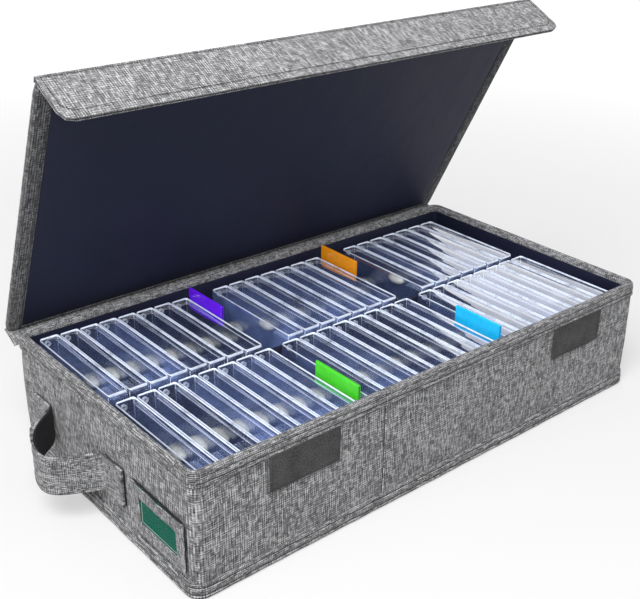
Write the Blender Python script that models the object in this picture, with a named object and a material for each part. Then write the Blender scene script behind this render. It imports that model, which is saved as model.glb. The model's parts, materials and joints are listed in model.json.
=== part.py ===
# Lidded fabric storage box for cassettes, shown open and filled.
# The tray is a sewn cover over stiff boards, with a padded base, a lining and a bound rim.
# The lid hangs on a fabric strip behind the tray and ends in a flap that closes over the front.
# Origin: centre of the tray's underside. X runs along the length, Y to the back, Z up. Metres.

import math

import bmesh
import bpy
from mathutils import Matrix

# Cassette cases, standing on their long edge in two rows
CASE_LENGTH = 0.109
CASE_HEIGHT = 0.070
CASE_THICKNESS = 0.017
CASE_EDGE = 0.0008
CASE_SPARE_BACK = 0.0001
CASE_SPARE_FRONT = 0.00018

# Room left round the rows, under the rim and on each side of the partition
CASE_BELOW_RIM = 0.0118
FRONT_WALL_ROOM = 0.0029
BACK_WALL_ROOM = 0.008
BACK_ROW_CLEARANCE = 0.0012
FRONT_ROW_CLEARANCE = 0.0011
FRONT_ROW_END_ROOM = 0.00974

# Each row from left to right. Cases: name, room before them, number of cases.
CASE_GROUPS = {
    "cases_back_left": (0.0068, 8),
    "cases_back_middle": (0.0218, 7),
    "cases_back_right": (0.0236, 7),
    "cases_front_left": (0.0073, 8),
    "cases_front_middle": (0.0051, 8),
    "cases_front_right": (0.0043, 8),
}
# Dividers: name, room before it, tab's middle from the row's outer end, colour.
DIVIDERS = {
    "divider_back_left": (0.0026, 0.0255, "tab_purple"),
    "divider_back_right": (0.006, 0.024, "tab_orange"),
    "divider_front_left": (0.00514, 0.0341, "tab_green"),
    "divider_front_right": (0.00764, 0.0341, "tab_blue"),
}
ROW_ORDER = {
    "back": (
        "cases_back_left",
        "divider_back_left",
        "cases_back_middle",
        "divider_back_right",
        "cases_back_right",
    ),
    "front": (
        "cases_front_left",
        "divider_front_left",
        "cases_front_middle",
        "divider_front_right",
        "cases_front_right",
    ),
}

# Tray corners, over the cover fabric
CORNER_RADIUS = 0.009
CORNER_STEPS = 6

# Sheet thicknesses and the air left between neighbouring layers
COVER_FABRIC = 0.0012
WALL_BOARD = 0.0024
LINING_FABRIC = 0.0008
BASE_BOARD = 0.003
BASE_FOAM = 0.011
LAYER_GAP = 0.0003
CUT_OVERRUN = 0.002
MERGE_DISTANCE = 0.00001

# Rim binding and bottom welt
BINDING_HEIGHT = 0.0115
WELT_HEIGHT = 0.0125
WELT_THICKNESS = 0.0015

# The cover strip's ends meet in an upright seam on the front
COVER_SEAM_FROM_LEFT = 0.1635
COVER_SEAM_WIDTH = 0.0003

# Hook-and-loop patches that hold the flap to the front
PATCH_LENGTH = 0.061
LOOP_HEIGHT = 0.029
HOOK_HEIGHT = 0.022
PATCH_THICKNESS = 0.0009
PATCH_CORNER = 0.0015
PATCH_CORNER_STEPS = 3
PATCH_LEFT_INSET = 0.0905
PATCH_RIGHT_INSET = 0.0805
PATCH_BELOW_RIM = 0.010

# Lid and flap
LID_OVERHANG = 0.002
LID_RIM_GAP = 0.0006
LID_CORNER = 0.004
LID_CORNER_STEPS = 4
LID_BINDING_WIDTH = 0.012
LID_OPEN_ANGLE = math.radians(62.2)
FLAP_HEIGHT = 0.040
FLAP_BOARD = 0.0006
FLAP_CORNER = 0.009
FLAP_BINDING_WIDTH = 0.008
HINGE_STRIP = 0.0012
HINGE_END_STEPS = 8

# Handles, one on each end wall
HANDLE_BEHIND_POCKET = 0.012
HANDLE_TOP_BELOW_RIM = 0.0405
HANDLE_WIDTH = 0.031
HANDLE_LOOP_LENGTH = 0.082
HANDLE_SEWN_END = 0.026
HANDLE_BULGE = 0.0345
HANDLE_STRAP = 0.0014
HANDLE_WEBBING = 0.0010
HANDLE_PATH_STEPS = 3
# Path of the loop in plan: share of the loop's length from the front, share of its bulge
HANDLE_LOOP_SHARES = (
    (0.0, 0.0),
    (0.05, 0.08),
    (0.11, 0.34),
    (0.17, 0.66),
    (0.24, 0.90),
    (0.33, 1.0),
    (0.45, 0.98),
    (0.58, 0.88),
    (0.71, 0.69),
    (0.81, 0.46),
    (0.91, 0.16),
    (1.0, 0.0),
)

# Label pocket on the left wall, with its window and card
POCKET_FRONT_INSET = 0.0085
POCKET_LENGTH = 0.064
POCKET_HEIGHT = 0.041
POCKET_BOTTOM_Z = 0.0175
POCKET_SEAM = 0.003
POCKET_SLOT = 0.0012
WINDOW_LENGTH = 0.046
WINDOW_HEIGHT = 0.021
WINDOW_FILM = 0.0004
WINDOW_BELOW_TOP = 0.0105
CARD_THICKNESS = 0.0005
CARD_SIDE_CLEARANCE = 0.0008
CARD_BELOW_TOP = 0.002

# Partition between the two rows
PARTITION_BOARD = 0.002
PARTITION_FABRIC = 0.0006
PARTITION_BELOW_CASES = 0.0027
PARTITION_END_CLEARANCE = 0.001

# Dividers: a clear sheet with a coloured tab folded over its tongue
DIVIDER_SHEET = 0.0008
DIVIDER_END_ROOM = 0.002
DIVIDER_BELOW_CASES = 0.004
DIVIDER_CORNER = 0.008
DIVIDER_CORNER_STEPS = 5
TAB_LENGTH = 0.048
TAB_HEIGHT = 0.015
TAB_PLY = 0.0006
TAB_SIDE = 0.001
TAB_BELOW_RIM = 0.0003

# Finishes: colour, roughness, metallic, transmission
FINISHES = {
    "heather_fabric": ((0.22, 0.22, 0.23), 0.95, 0.0, 0.0),
    "navy_lining": ((0.02, 0.023, 0.045), 0.70, 0.0, 0.0),
    "grey_board": ((0.45, 0.42, 0.38), 0.90, 0.0, 0.0),
    "foam": ((0.75, 0.75, 0.72), 0.95, 0.0, 0.0),
    "loop_tape": ((0.07, 0.07, 0.07), 0.98, 0.0, 0.0),
    "hook_tape": ((0.06, 0.06, 0.06), 0.85, 0.0, 0.0),
    "dark_webbing": ((0.03, 0.03, 0.035), 0.90, 0.0, 0.0),
    "clear_film": ((0.85, 0.87, 0.90), 0.08, 0.0, 0.9),
    "green_card": ((0.01, 0.10, 0.06), 0.55, 0.0, 0.0),
    "clear_plastic": ((0.80, 0.84, 0.92), 0.05, 0.0, 0.9),
    "tab_purple": ((0.10, 0.007, 0.90), 0.15, 0.0, 0.0),
    "tab_orange": ((1.0, 0.30, 0.005), 0.15, 0.0, 0.0),
    "tab_green": ((0.05, 0.58, 0.015), 0.15, 0.0, 0.0),
    "tab_blue": ((0.01, 0.48, 1.0), 0.15, 0.0, 0.0),
}


def row_pitch(row):
    return CASE_THICKNESS + (CASE_SPARE_BACK if row == "back" else CASE_SPARE_FRONT)


def row_places(row, start):
    # Left end of each group and middle of each divider, and where the row ends
    places = {}
    x = start
    for name in ROW_ORDER[row]:
        if name in DIVIDERS:
            x += DIVIDERS[name][0]
            places[name] = x
        else:
            room, count = CASE_GROUPS[name]
            places[name] = x + room
            x += room + (count - 1) * row_pitch(row) + CASE_THICKNESS
    return places, x


# Sizes and places that follow from those above
TAU = 2 * math.pi
BOARD_INSET = COVER_FABRIC + LAYER_GAP
LINING_INSET = BOARD_INSET + WALL_BOARD + LAYER_GAP
WALL_THICKNESS = LINING_INSET + LINING_FABRIC
BASE_BOARD_Z = COVER_FABRIC + LAYER_GAP
FOAM_Z = BASE_BOARD_Z + BASE_BOARD + LAYER_GAP
FLOOR_Z = FOAM_Z + BASE_FOAM + LAYER_GAP
CONTENTS_Z = FLOOR_Z + LINING_FABRIC + LAYER_GAP
PARTITION_THICKNESS = PARTITION_BOARD + 2 * (LAYER_GAP + PARTITION_FABRIC)

TRAY_LENGTH = 2 * WALL_THICKNESS + row_places("front", 0.0)[1] + FRONT_ROW_END_ROOM
ROWS_DEPTH = 2 * CASE_LENGTH + FRONT_ROW_CLEARANCE + PARTITION_THICKNESS + BACK_ROW_CLEARANCE
TRAY_DEPTH = 2 * WALL_THICKNESS + FRONT_WALL_ROOM + ROWS_DEPTH + BACK_WALL_ROOM
TRAY_HEIGHT = CONTENTS_Z + CASE_HEIGHT + CASE_BELOW_RIM
HALF_LENGTH = TRAY_LENGTH / 2
HALF_DEPTH = TRAY_DEPTH / 2
BINDING_Z = TRAY_HEIGHT - BINDING_HEIGHT
BOARD_TOP_Z = TRAY_HEIGHT - COVER_FABRIC - LAYER_GAP

FRONT_ROW_Y = -HALF_DEPTH + WALL_THICKNESS + FRONT_WALL_ROOM
BACK_ROW_Y = HALF_DEPTH - WALL_THICKNESS - BACK_WALL_ROOM - CASE_LENGTH
PARTITION_Y = FRONT_ROW_Y + CASE_LENGTH + FRONT_ROW_CLEARANCE + PARTITION_THICKNESS / 2
ROW_Y = {"back": BACK_ROW_Y, "front": FRONT_ROW_Y}
COVER_SEAM_X = -HALF_LENGTH + COVER_SEAM_FROM_LEFT
PATCH_LEFT_X = -HALF_LENGTH + PATCH_LEFT_INSET
PATCH_RIGHT_X = HALF_LENGTH - PATCH_RIGHT_INSET
POCKET_CENTRE_Y = -HALF_DEPTH + POCKET_FRONT_INSET + POCKET_LENGTH / 2
HANDLE_FRONT_Y = POCKET_CENTRE_Y + POCKET_LENGTH / 2 + HANDLE_BEHIND_POCKET

LID_LENGTH = TRAY_LENGTH + 2 * LID_OVERHANG
LID_THICKNESS = COVER_FABRIC + LAYER_GAP + WALL_BOARD + LAYER_GAP + LINING_FABRIC
LID_BOTTOM_Z = TRAY_HEIGHT + LID_RIM_GAP
LID_TOP_Z = LID_BOTTOM_Z + LID_THICKNESS
FLAP_THICKNESS = COVER_FABRIC + LAYER_GAP + FLAP_BOARD + LAYER_GAP + LINING_FABRIC
LOOP_Y = -HALF_DEPTH - LAYER_GAP - PATCH_THICKNESS
HOOK_Y = LOOP_Y - LAYER_GAP - PATCH_THICKNESS
FLAP_INNER_Y = HOOK_Y - LAYER_GAP
FLAP_OUTER_Y = FLAP_INNER_Y - FLAP_THICKNESS
HINGE_Y = HALF_DEPTH + LAYER_GAP + HINGE_STRIP / 2
HINGE_Z = BINDING_Z


def clear_scene():
    for old in list(bpy.data.objects):
        bpy.data.objects.remove(old, do_unlink=True)


def new_collection(name):
    collection = bpy.data.collections.new(name)
    bpy.context.scene.collection.children.link(collection)
    return collection


def finish_material(name):
    found = bpy.data.materials.get(name)
    if found:
        return found
    colour, roughness, metallic, transmission = FINISHES[name]
    made = bpy.data.materials.new(name)
    made.use_nodes = True
    shader = made.node_tree.nodes["Principled BSDF"]
    shader.inputs["Base Color"].default_value = (*colour, 1.0)
    shader.inputs["Roughness"].default_value = roughness
    shader.inputs["Metallic"].default_value = metallic
    shader.inputs["Transmission Weight"].default_value = transmission
    return made


def arc(centre_x, centre_y, radius, start, steps):
    # A quarter turn, counter-clockwise from the start angle
    turns = [start + TAU / 4 * i / steps for i in range(steps + 1)]
    return [(centre_x + radius * math.cos(t), centre_y + radius * math.sin(t)) for t in turns]


def rounded_rectangle(x0, x1, y0, y1, radii, steps):
    # Corner radii in the order lower left, lower right, upper right, upper left
    corners = (
        (x0, y0, 1, 1, TAU / 2),
        (x1, y0, -1, 1, 3 * TAU / 4),
        (x1, y1, -1, -1, 0.0),
        (x0, y1, 1, -1, TAU / 4),
    )
    points = []
    for (x, y, side_x, side_y, start), radius in zip(corners, radii):
        if radius:
            points += arc(x + side_x * radius, y + side_y * radius, radius, start, steps)
        else:
            points.append((x, y))
    return points


def tray_outline(inset):
    # The tray's rounded plan, moved in from the cover fabric's outer face
    radius = CORNER_RADIUS - inset
    reach_x = HALF_LENGTH - inset
    reach_y = HALF_DEPTH - inset
    return rounded_rectangle(-reach_x, reach_x, -reach_y, reach_y, (radius,) * 4, CORNER_STEPS)


def add_object(name, mesh, collection, finish):
    made = bpy.data.objects.new(name, mesh)
    collection.objects.link(made)
    if finish:
        mesh.materials.clear()
        mesh.materials.append(finish_material(finish))
    return made


def plate(name, outlines, low, high, finish, collection=None):
    # Flat sheet with the given outlines, later ones being holes, between two heights
    curve = bpy.data.curves.new(name, "CURVE")
    curve.dimensions = "2D"
    curve.fill_mode = "BOTH"
    curve.extrude = (high - low) / 2
    for outline in outlines:
        spline = curve.splines.new("POLY")
        spline.points.add(len(outline) - 1)
        for point, (x, y) in zip(spline.points, outline):
            point.co = (x, y, 0.0, 1.0)
        spline.use_cyclic_u = True
    drawn = bpy.data.objects.new(name + "_outline", curve)
    parts.objects.link(drawn)
    bpy.context.view_layer.update()
    seen = drawn.evaluated_get(bpy.context.evaluated_depsgraph_get())
    mesh = bpy.data.meshes.new_from_object(seen)
    bpy.data.objects.remove(drawn, do_unlink=True)
    shape = bmesh.new()
    shape.from_mesh(mesh)
    bmesh.ops.remove_doubles(shape, verts=shape.verts, dist=MERGE_DISTANCE)
    bmesh.ops.translate(shape, verts=shape.verts, vec=(0.0, 0.0, (low + high) / 2))
    bmesh.ops.recalc_face_normals(shape, faces=shape.faces)
    shape.to_mesh(mesh)
    shape.free()
    mesh.name = name
    return add_object(name, mesh, collection or parts, finish)


def box(name, low, high, finish, collection=None):
    # Straight-sided block between two corners
    middle = [(a + b) / 2 for a, b in zip(low, high)]
    size = [b - a for a, b in zip(low, high)]
    shape = bmesh.new()
    placed = Matrix.Translation(middle) @ Matrix.Diagonal((*size, 1.0))
    bmesh.ops.create_cube(shape, size=1.0, matrix=placed)
    mesh = bpy.data.meshes.new(name)
    shape.to_mesh(mesh)
    shape.free()
    return add_object(name, mesh, collection or parts, finish)


def cut(target, cutter):
    # Takes the cutter's shape out of the target
    cutter.hide_render = True
    cutter.display_type = "WIRE"
    cutting = target.modifiers.new("cut_" + cutter.name, "BOOLEAN")
    cutting.operation = "DIFFERENCE"
    cutting.object = cutter
    return target


def pivot(name, place, parent=None):
    made = bpy.data.objects.new(name, None)
    parts.objects.link(made)
    made.location = place
    made.parent = parent
    return made


def hang(objects, parent):
    for made in objects:
        made.parent = parent


def build_walls():
    # Cover strip, boards and lining of the four walls
    cover = plate(
        "cover_wall",
        [tray_outline(0.0), tray_outline(COVER_FABRIC)],
        LAYER_GAP,
        BINDING_Z - LAYER_GAP,
        "heather_fabric",
    )
    seam = box(
        "cover_seam_cut",
        (COVER_SEAM_X - COVER_SEAM_WIDTH / 2, -HALF_DEPTH - CUT_OVERRUN, -CUT_OVERRUN),
        (COVER_SEAM_X + COVER_SEAM_WIDTH / 2, -HALF_DEPTH + COVER_FABRIC + CUT_OVERRUN, TRAY_HEIGHT),
        None,
        cutters,
    )
    cut(cover, seam)

    long_reach = HALF_LENGTH - CORNER_RADIUS
    short_reach = HALF_DEPTH - CORNER_RADIUS
    outer_x = HALF_LENGTH - BOARD_INSET
    outer_y = HALF_DEPTH - BOARD_INSET
    inner_x = outer_x - WALL_BOARD
    inner_y = outer_y - WALL_BOARD
    board_z = (BASE_BOARD_Z, BOARD_TOP_Z)
    walls = (
        ("front_board", -long_reach, long_reach, -outer_y, -inner_y),
        ("back_board", -long_reach, long_reach, inner_y, outer_y),
        ("left_board", -outer_x, -inner_x, -short_reach, short_reach),
        ("right_board", inner_x, outer_x, -short_reach, short_reach),
    )
    for name, x0, x1, y0, y1 in walls:
        box(name, (x0, y0, board_z[0]), (x1, y1, board_z[1]), "grey_board")

    plate(
        "lining_wall",
        [tray_outline(LINING_INSET), tray_outline(WALL_THICKNESS)],
        FLOOR_Z,
        BINDING_Z - LAYER_GAP,
        "navy_lining",
    )


def build_base():
    # Underside fabric, stiff board, padding and the lined floor
    plate("bottom_cover", [tray_outline(BOARD_INSET)], 0.0, COVER_FABRIC, "heather_fabric")
    core = tray_outline(LINING_INSET)
    plate("base_board", [core], BASE_BOARD_Z, BASE_BOARD_Z + BASE_BOARD, "grey_board")
    plate("base_foam", [core], FOAM_Z, FOAM_Z + BASE_FOAM, "foam")
    floor = tray_outline(WALL_THICKNESS + LAYER_GAP)
    plate("lining_floor", [floor], FLOOR_Z, FLOOR_Z + LINING_FABRIC, "navy_lining")


def build_trim():
    # Folded binding over the rim and the welt around the foot of the walls
    binding = plate(
        "rim_binding",
        [tray_outline(0.0), tray_outline(WALL_THICKNESS)],
        BINDING_Z,
        TRAY_HEIGHT,
        "heather_fabric",
    )
    groove = plate(
        "rim_binding_groove",
        [tray_outline(COVER_FABRIC), tray_outline(LINING_INSET)],
        BINDING_Z - CUT_OVERRUN,
        TRAY_HEIGHT - COVER_FABRIC,
        None,
        cutters,
    )
    cut(binding, groove)
    plate(
        "bottom_welt",
        [tray_outline(-LAYER_GAP - WELT_THICKNESS), tray_outline(-LAYER_GAP)],
        LAYER_GAP,
        WELT_HEIGHT,
        "heather_fabric",
    )


def patch(name, centre_x, low_z, height, outer_y, finish):
    # Rounded tape patch that stands upright against the front
    outline = rounded_rectangle(
        centre_x - PATCH_LENGTH / 2,
        centre_x + PATCH_LENGTH / 2,
        low_z,
        low_z + height,
        (PATCH_CORNER,) * 4,
        PATCH_CORNER_STEPS,
    )
    made = plate(name, [outline], -PATCH_THICKNESS, 0.0, finish)
    made.rotation_euler = (TAU / 4, 0.0, 0.0)
    made.location = (0.0, outer_y, 0.0)
    return made


def build_loop_patches():
    low_z = TRAY_HEIGHT - PATCH_BELOW_RIM - LOOP_HEIGHT
    for name, x in (("loop_patch_left", PATCH_LEFT_X), ("loop_patch_right", PATCH_RIGHT_X)):
        patch(name, x, low_z, LOOP_HEIGHT, LOOP_Y, "loop_tape")


def smooth_path(points, steps):
    # Points of a curve that passes smoothly through the given ones
    padded = [points[0]] + list(points) + [points[-1]]
    path = []
    for before, start, end, after in zip(padded, padded[1:], padded[2:], padded[3:]):
        for i in range(steps):
            t = i / steps
            weights = (
                (-t + 2 * t**2 - t**3) / 2,
                (2 - 5 * t**2 + 3 * t**3) / 2,
                (t + 4 * t**2 - 3 * t**3) / 2,
                (-(t**2) + t**3) / 2,
            )
            four = (before, start, end, after)
            path.append(tuple(sum(w * p[k] for w, p in zip(weights, four)) for k in range(2)))
    path.append(points[-1])
    return path


def handle_path():
    # Inner face of the strap in plan: (distance out of the wall, place along Y)
    front = HANDLE_FRONT_Y + HANDLE_SEWN_END
    loop = [(b * HANDLE_BULGE, front + a * HANDLE_LOOP_LENGTH) for a, b in HANDLE_LOOP_SHARES]
    start = (0.0, HANDLE_FRONT_Y)
    end = (0.0, front + HANDLE_LOOP_LENGTH + HANDLE_SEWN_END)
    return [start] + smooth_path(loop, HANDLE_PATH_STEPS) + [end]


def offset_path(path, distance):
    # The same path moved outwards, square to its own run
    moved = []
    for i, (out, along) in enumerate(path):
        before = path[max(i - 1, 0)]
        after = path[min(i + 1, len(path) - 1)]
        run_out, run_along = after[0] - before[0], after[1] - before[1]
        run = math.hypot(run_out, run_along)
        moved.append((out + distance * run_along / run, along - distance * run_out / run))
    return moved


def build_handle(side_name, side):
    path = handle_path()
    top = TRAY_HEIGHT - HANDLE_TOP_BELOW_RIM
    webbing_face = LAYER_GAP + HANDLE_WEBBING
    strap_face = webbing_face + LAYER_GAP
    layers = (
        ("webbing", LAYER_GAP, webbing_face, "dark_webbing"),
        ("strap", strap_face, strap_face + HANDLE_STRAP, "heather_fabric"),
    )
    for layer, inner, outer, finish in layers:
        outline = offset_path(path, inner) + offset_path(path, outer)[::-1]
        placed = [(side * (HALF_LENGTH + out), along) for out, along in outline]
        name = f"handle_{side_name}_{layer}"
        plate(name, [placed], top - HANDLE_WIDTH, top, finish)


def build_label():
    # Sewn pocket, open at its top, with a clear window and a card inside
    wall_x = -HALF_LENGTH
    back_x = wall_x - LAYER_GAP
    slot_x = back_x - POCKET_SLOT
    face_x = slot_x - COVER_FABRIC
    y0 = POCKET_CENTRE_Y - POCKET_LENGTH / 2
    y1 = POCKET_CENTRE_Y + POCKET_LENGTH / 2
    z0 = POCKET_BOTTOM_Z
    z1 = z0 + POCKET_HEIGHT
    pocket = box("label_pocket", (face_x, y0, z0), (back_x, y1, z1), "heather_fabric")
    slot = box(
        "label_pocket_slot",
        (slot_x, y0 + POCKET_SEAM, z0 + POCKET_SEAM),
        (back_x + CUT_OVERRUN, y1 - POCKET_SEAM, z1 + CUT_OVERRUN),
        None,
        cutters,
    )
    window_y = (POCKET_CENTRE_Y - WINDOW_LENGTH / 2, POCKET_CENTRE_Y + WINDOW_LENGTH / 2)
    window_z = (z1 - WINDOW_BELOW_TOP - WINDOW_HEIGHT, z1 - WINDOW_BELOW_TOP)
    hole = box(
        "label_window_cut",
        (face_x - CUT_OVERRUN, window_y[0], window_z[0]),
        (slot_x + CUT_OVERRUN, window_y[1], window_z[1]),
        None,
        cutters,
    )
    cut(cut(pocket, slot), hole)
    box(
        "label_window",
        (slot_x - WINDOW_FILM, window_y[0] + LAYER_GAP, window_z[0] + LAYER_GAP),
        (slot_x, window_y[1] - LAYER_GAP, window_z[1] - LAYER_GAP),
        "clear_film",
    )
    card_y = POCKET_LENGTH / 2 - POCKET_SEAM - CARD_SIDE_CLEARANCE
    box(
        "label_card",
        (slot_x + LAYER_GAP, POCKET_CENTRE_Y - card_y, z0 + POCKET_SEAM + LAYER_GAP),
        (slot_x + LAYER_GAP + CARD_THICKNESS, POCKET_CENTRE_Y + card_y, z1 - CARD_BELOW_TOP),
        "green_card",
    )


def build_partition():
    # Stiff board with a fabric cover folded over its top edge
    reach = HALF_LENGTH - WALL_THICKNESS - PARTITION_END_CLEARANCE
    cover_reach = PARTITION_THICKNESS / 2
    board_reach = PARTITION_BOARD / 2
    top = CONTENTS_Z + CASE_HEIGHT - PARTITION_BELOW_CASES
    fold = PARTITION_FABRIC + LAYER_GAP
    box(
        "partition_board",
        (-reach, PARTITION_Y - board_reach, CONTENTS_Z),
        (reach, PARTITION_Y + board_reach, top - fold),
        "grey_board",
    )
    cover = box(
        "partition_cover",
        (-reach, PARTITION_Y - cover_reach, CONTENTS_Z),
        (reach, PARTITION_Y + cover_reach, top),
        "navy_lining",
    )
    core = box(
        "partition_cover_core",
        (-reach - CUT_OVERRUN, PARTITION_Y - board_reach - LAYER_GAP, CONTENTS_Z - CUT_OVERRUN),
        (reach + CUT_OVERRUN, PARTITION_Y + board_reach + LAYER_GAP, top - PARTITION_FABRIC),
        None,
        cutters,
    )
    cut(cover, core)


def case_group(name, row, left):
    # Cases side by side, each with its top and bottom edges broken
    count = CASE_GROUPS[name][1]
    pitch = row_pitch(row)
    low, high = CONTENTS_Z, CONTENTS_Z + CASE_HEIGHT
    tops, bottoms = [], []
    for i in range(count):
        x0 = left + i * pitch
        x1 = x0 + CASE_THICKNESS
        bottoms += [(x0, low + CASE_EDGE), (x0 + CASE_EDGE, low)]
        bottoms += [(x1 - CASE_EDGE, low), (x1, low + CASE_EDGE)]
        tops += [(x0, high - CASE_EDGE), (x0 + CASE_EDGE, high)]
        tops += [(x1 - CASE_EDGE, high), (x1, high - CASE_EDGE)]
    made = plate(name, [bottoms + tops[::-1]], -CASE_LENGTH, 0.0, "clear_plastic")
    made.rotation_euler = (TAU / 4, 0.0, 0.0)
    made.location = (0.0, ROW_Y[row], 0.0)


def divider(name, row, place_x):
    # Clear sheet with a tongue, and the coloured tab folded over that tongue
    tab_from_end, finish = DIVIDERS[name][1:]
    row_y = ROW_Y[row]
    tab_y = row_y + (CASE_LENGTH - tab_from_end if row == "back" else tab_from_end)
    sheet_low = CONTENTS_Z
    shoulder = sheet_low + CASE_HEIGHT - DIVIDER_BELOW_CASES
    tab_high = TRAY_HEIGHT - TAB_BELOW_RIM
    tab_low = tab_high - TAB_HEIGHT
    tongue_high = tab_high - TAB_PLY - LAYER_GAP
    y0 = row_y + DIVIDER_END_ROOM
    y1 = row_y + CASE_LENGTH - DIVIDER_END_ROOM
    tongue = TAB_LENGTH / 2 - TAB_SIDE
    outline = rounded_rectangle(
        y0, y1, sheet_low, shoulder, (0.0, 0.0, DIVIDER_CORNER, DIVIDER_CORNER), DIVIDER_CORNER_STEPS
    )
    last_right = 2 + DIVIDER_CORNER_STEPS + 1
    left_y = max(tab_y - tongue, y0 + DIVIDER_CORNER)
    right_y = min(tab_y + tongue, y1 - DIVIDER_CORNER)
    raised = [(right_y, shoulder), (right_y, tongue_high), (left_y, tongue_high), (left_y, shoulder)]
    outline = outline[:last_right] + raised + outline[last_right:]
    sheet = plate(name + "_sheet", [outline], -DIVIDER_SHEET / 2, DIVIDER_SHEET / 2, "clear_plastic")
    sheet.rotation_euler = (TAU / 4, 0.0, TAU / 4)
    sheet.location = (place_x, 0.0, 0.0)

    inner = DIVIDER_SHEET / 2 + LAYER_GAP
    outer = inner + TAB_PLY
    tab = box(
        name + "_tab",
        (place_x - outer, tab_y - TAB_LENGTH / 2, tab_low),
        (place_x + outer, tab_y + TAB_LENGTH / 2, tab_high),
        finish,
    )
    core = box(
        name + "_tab_core",
        (place_x - inner, tab_y - TAB_LENGTH / 2 - CUT_OVERRUN, tab_low - CUT_OVERRUN),
        (place_x + inner, tab_y + TAB_LENGTH / 2 + CUT_OVERRUN, tab_high - TAB_PLY),
        None,
        cutters,
    )
    cut(tab, core)


def panel(prefix, x_reach, y0, y1, top, board, radii, binding, steps):
    # A stiffened panel: cover that wraps the edge, board inside, lining in the middle
    low = top - COVER_FABRIC - LAYER_GAP - board - LAYER_GAP - LINING_FABRIC

    def outline(inset):
        shrunk = [max(r - inset, 0.0) for r in radii]
        return rounded_rectangle(-x_reach + inset, x_reach - inset, y0 + inset, y1 - inset, shrunk, steps)

    cover = plate(prefix + "_cover", [outline(0.0)], low, top, "heather_fabric")
    pocket_inset = COVER_FABRIC
    pocket = plate(
        prefix + "_cover_pocket",
        [outline(pocket_inset)],
        low + LINING_FABRIC,
        top - COVER_FABRIC,
        None,
        cutters,
    )
    window = plate(
        prefix + "_cover_window",
        [outline(binding)],
        low - CUT_OVERRUN,
        top - COVER_FABRIC - LAYER_GAP,
        None,
        cutters,
    )
    cut(cut(cover, pocket), window)
    inside = plate(
        prefix + "_board",
        [outline(pocket_inset + LAYER_GAP)],
        low + LINING_FABRIC + LAYER_GAP,
        low + LINING_FABRIC + LAYER_GAP + board,
        "grey_board",
    )
    lining = plate(
        prefix + "_lining",
        [outline(binding + LAYER_GAP)],
        low,
        low + LINING_FABRIC,
        "navy_lining",
    )
    return [cover, inside, lining, pocket, window]


def build_lid():
    # The lid is drawn closed, about its hinge line, and then turned open
    hinge = pivot("lid_pivot", (0.0, HINGE_Y, HINGE_Z))
    hinge.rotation_euler = (-LID_OPEN_ANGLE, 0.0, 0.0)
    top = LID_TOP_Z - HINGE_Z
    lid = panel(
        "lid",
        LID_LENGTH / 2,
        FLAP_INNER_Y + LAYER_GAP - HINGE_Y,
        HALF_DEPTH - HINGE_Y,
        top,
        WALL_BOARD,
        (LID_CORNER,) * 4,
        LID_BINDING_WIDTH,
        LID_CORNER_STEPS,
    )
    half_strip = HINGE_STRIP / 2
    rounded_end = [
        (half_strip * math.cos(t), half_strip * math.sin(t))
        for t in (TAU / 2 + TAU / 2 * i / HINGE_END_STEPS for i in range(HINGE_END_STEPS + 1))
    ]
    strip = plate(
        "lid_hinge_strip",
        [rounded_end + [(half_strip, top), (-half_strip, top)]],
        -LID_LENGTH / 2,
        LID_LENGTH / 2,
        "heather_fabric",
    )
    strip.rotation_euler = (TAU / 4, 0.0, TAU / 4)
    hang(lid + [strip], hinge)
    return hinge


def build_flap(lid_hinge):
    # The flap hangs square to the lid from the fold at the lid's front edge
    fold = pivot("flap_pivot", (0.0, FLAP_OUTER_Y - HINGE_Y, LID_TOP_Z - HINGE_Z), lid_hinge)
    flap = panel(
        "flap",
        LID_LENGTH / 2,
        -FLAP_HEIGHT,
        0.0,
        0.0,
        FLAP_BOARD,
        (FLAP_CORNER, FLAP_CORNER, 0.0, 0.0),
        FLAP_BINDING_WIDTH,
        CORNER_STEPS,
    )
    for made in flap:
        made.rotation_euler = (TAU / 4, 0.0, 0.0)
    hook_low = TRAY_HEIGHT - PATCH_BELOW_RIM - HOOK_HEIGHT - LID_TOP_Z
    hook_y = HOOK_Y - FLAP_OUTER_Y
    hooks = [
        patch("hook_patch_left", PATCH_LEFT_X, hook_low, HOOK_HEIGHT, hook_y, "hook_tape"),
        patch("hook_patch_right", PATCH_RIGHT_X, hook_low, HOOK_HEIGHT, hook_y, "hook_tape"),
    ]
    hang(flap + hooks, fold)


clear_scene()
parts = new_collection("cassette_storage_box")
cutters = new_collection("cutters")
build_base()
build_walls()
build_trim()
build_loop_patches()
build_handle("left", -1)
build_handle("right", 1)
build_label()
build_partition()
for side_of_partition in ROW_ORDER:
    row_start = -HALF_LENGTH + WALL_THICKNESS
    for piece, place in row_places(side_of_partition, row_start)[0].items():
        if piece in DIVIDERS:
            divider(piece, side_of_partition, place)
        else:
            case_group(piece, side_of_partition, place)
build_flap(build_lid())
bpy.context.view_layer.update()
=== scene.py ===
import json
import math

import bmesh
import bpy
import numpy as np
from mathutils import Matrix, Vector, noise


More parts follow.
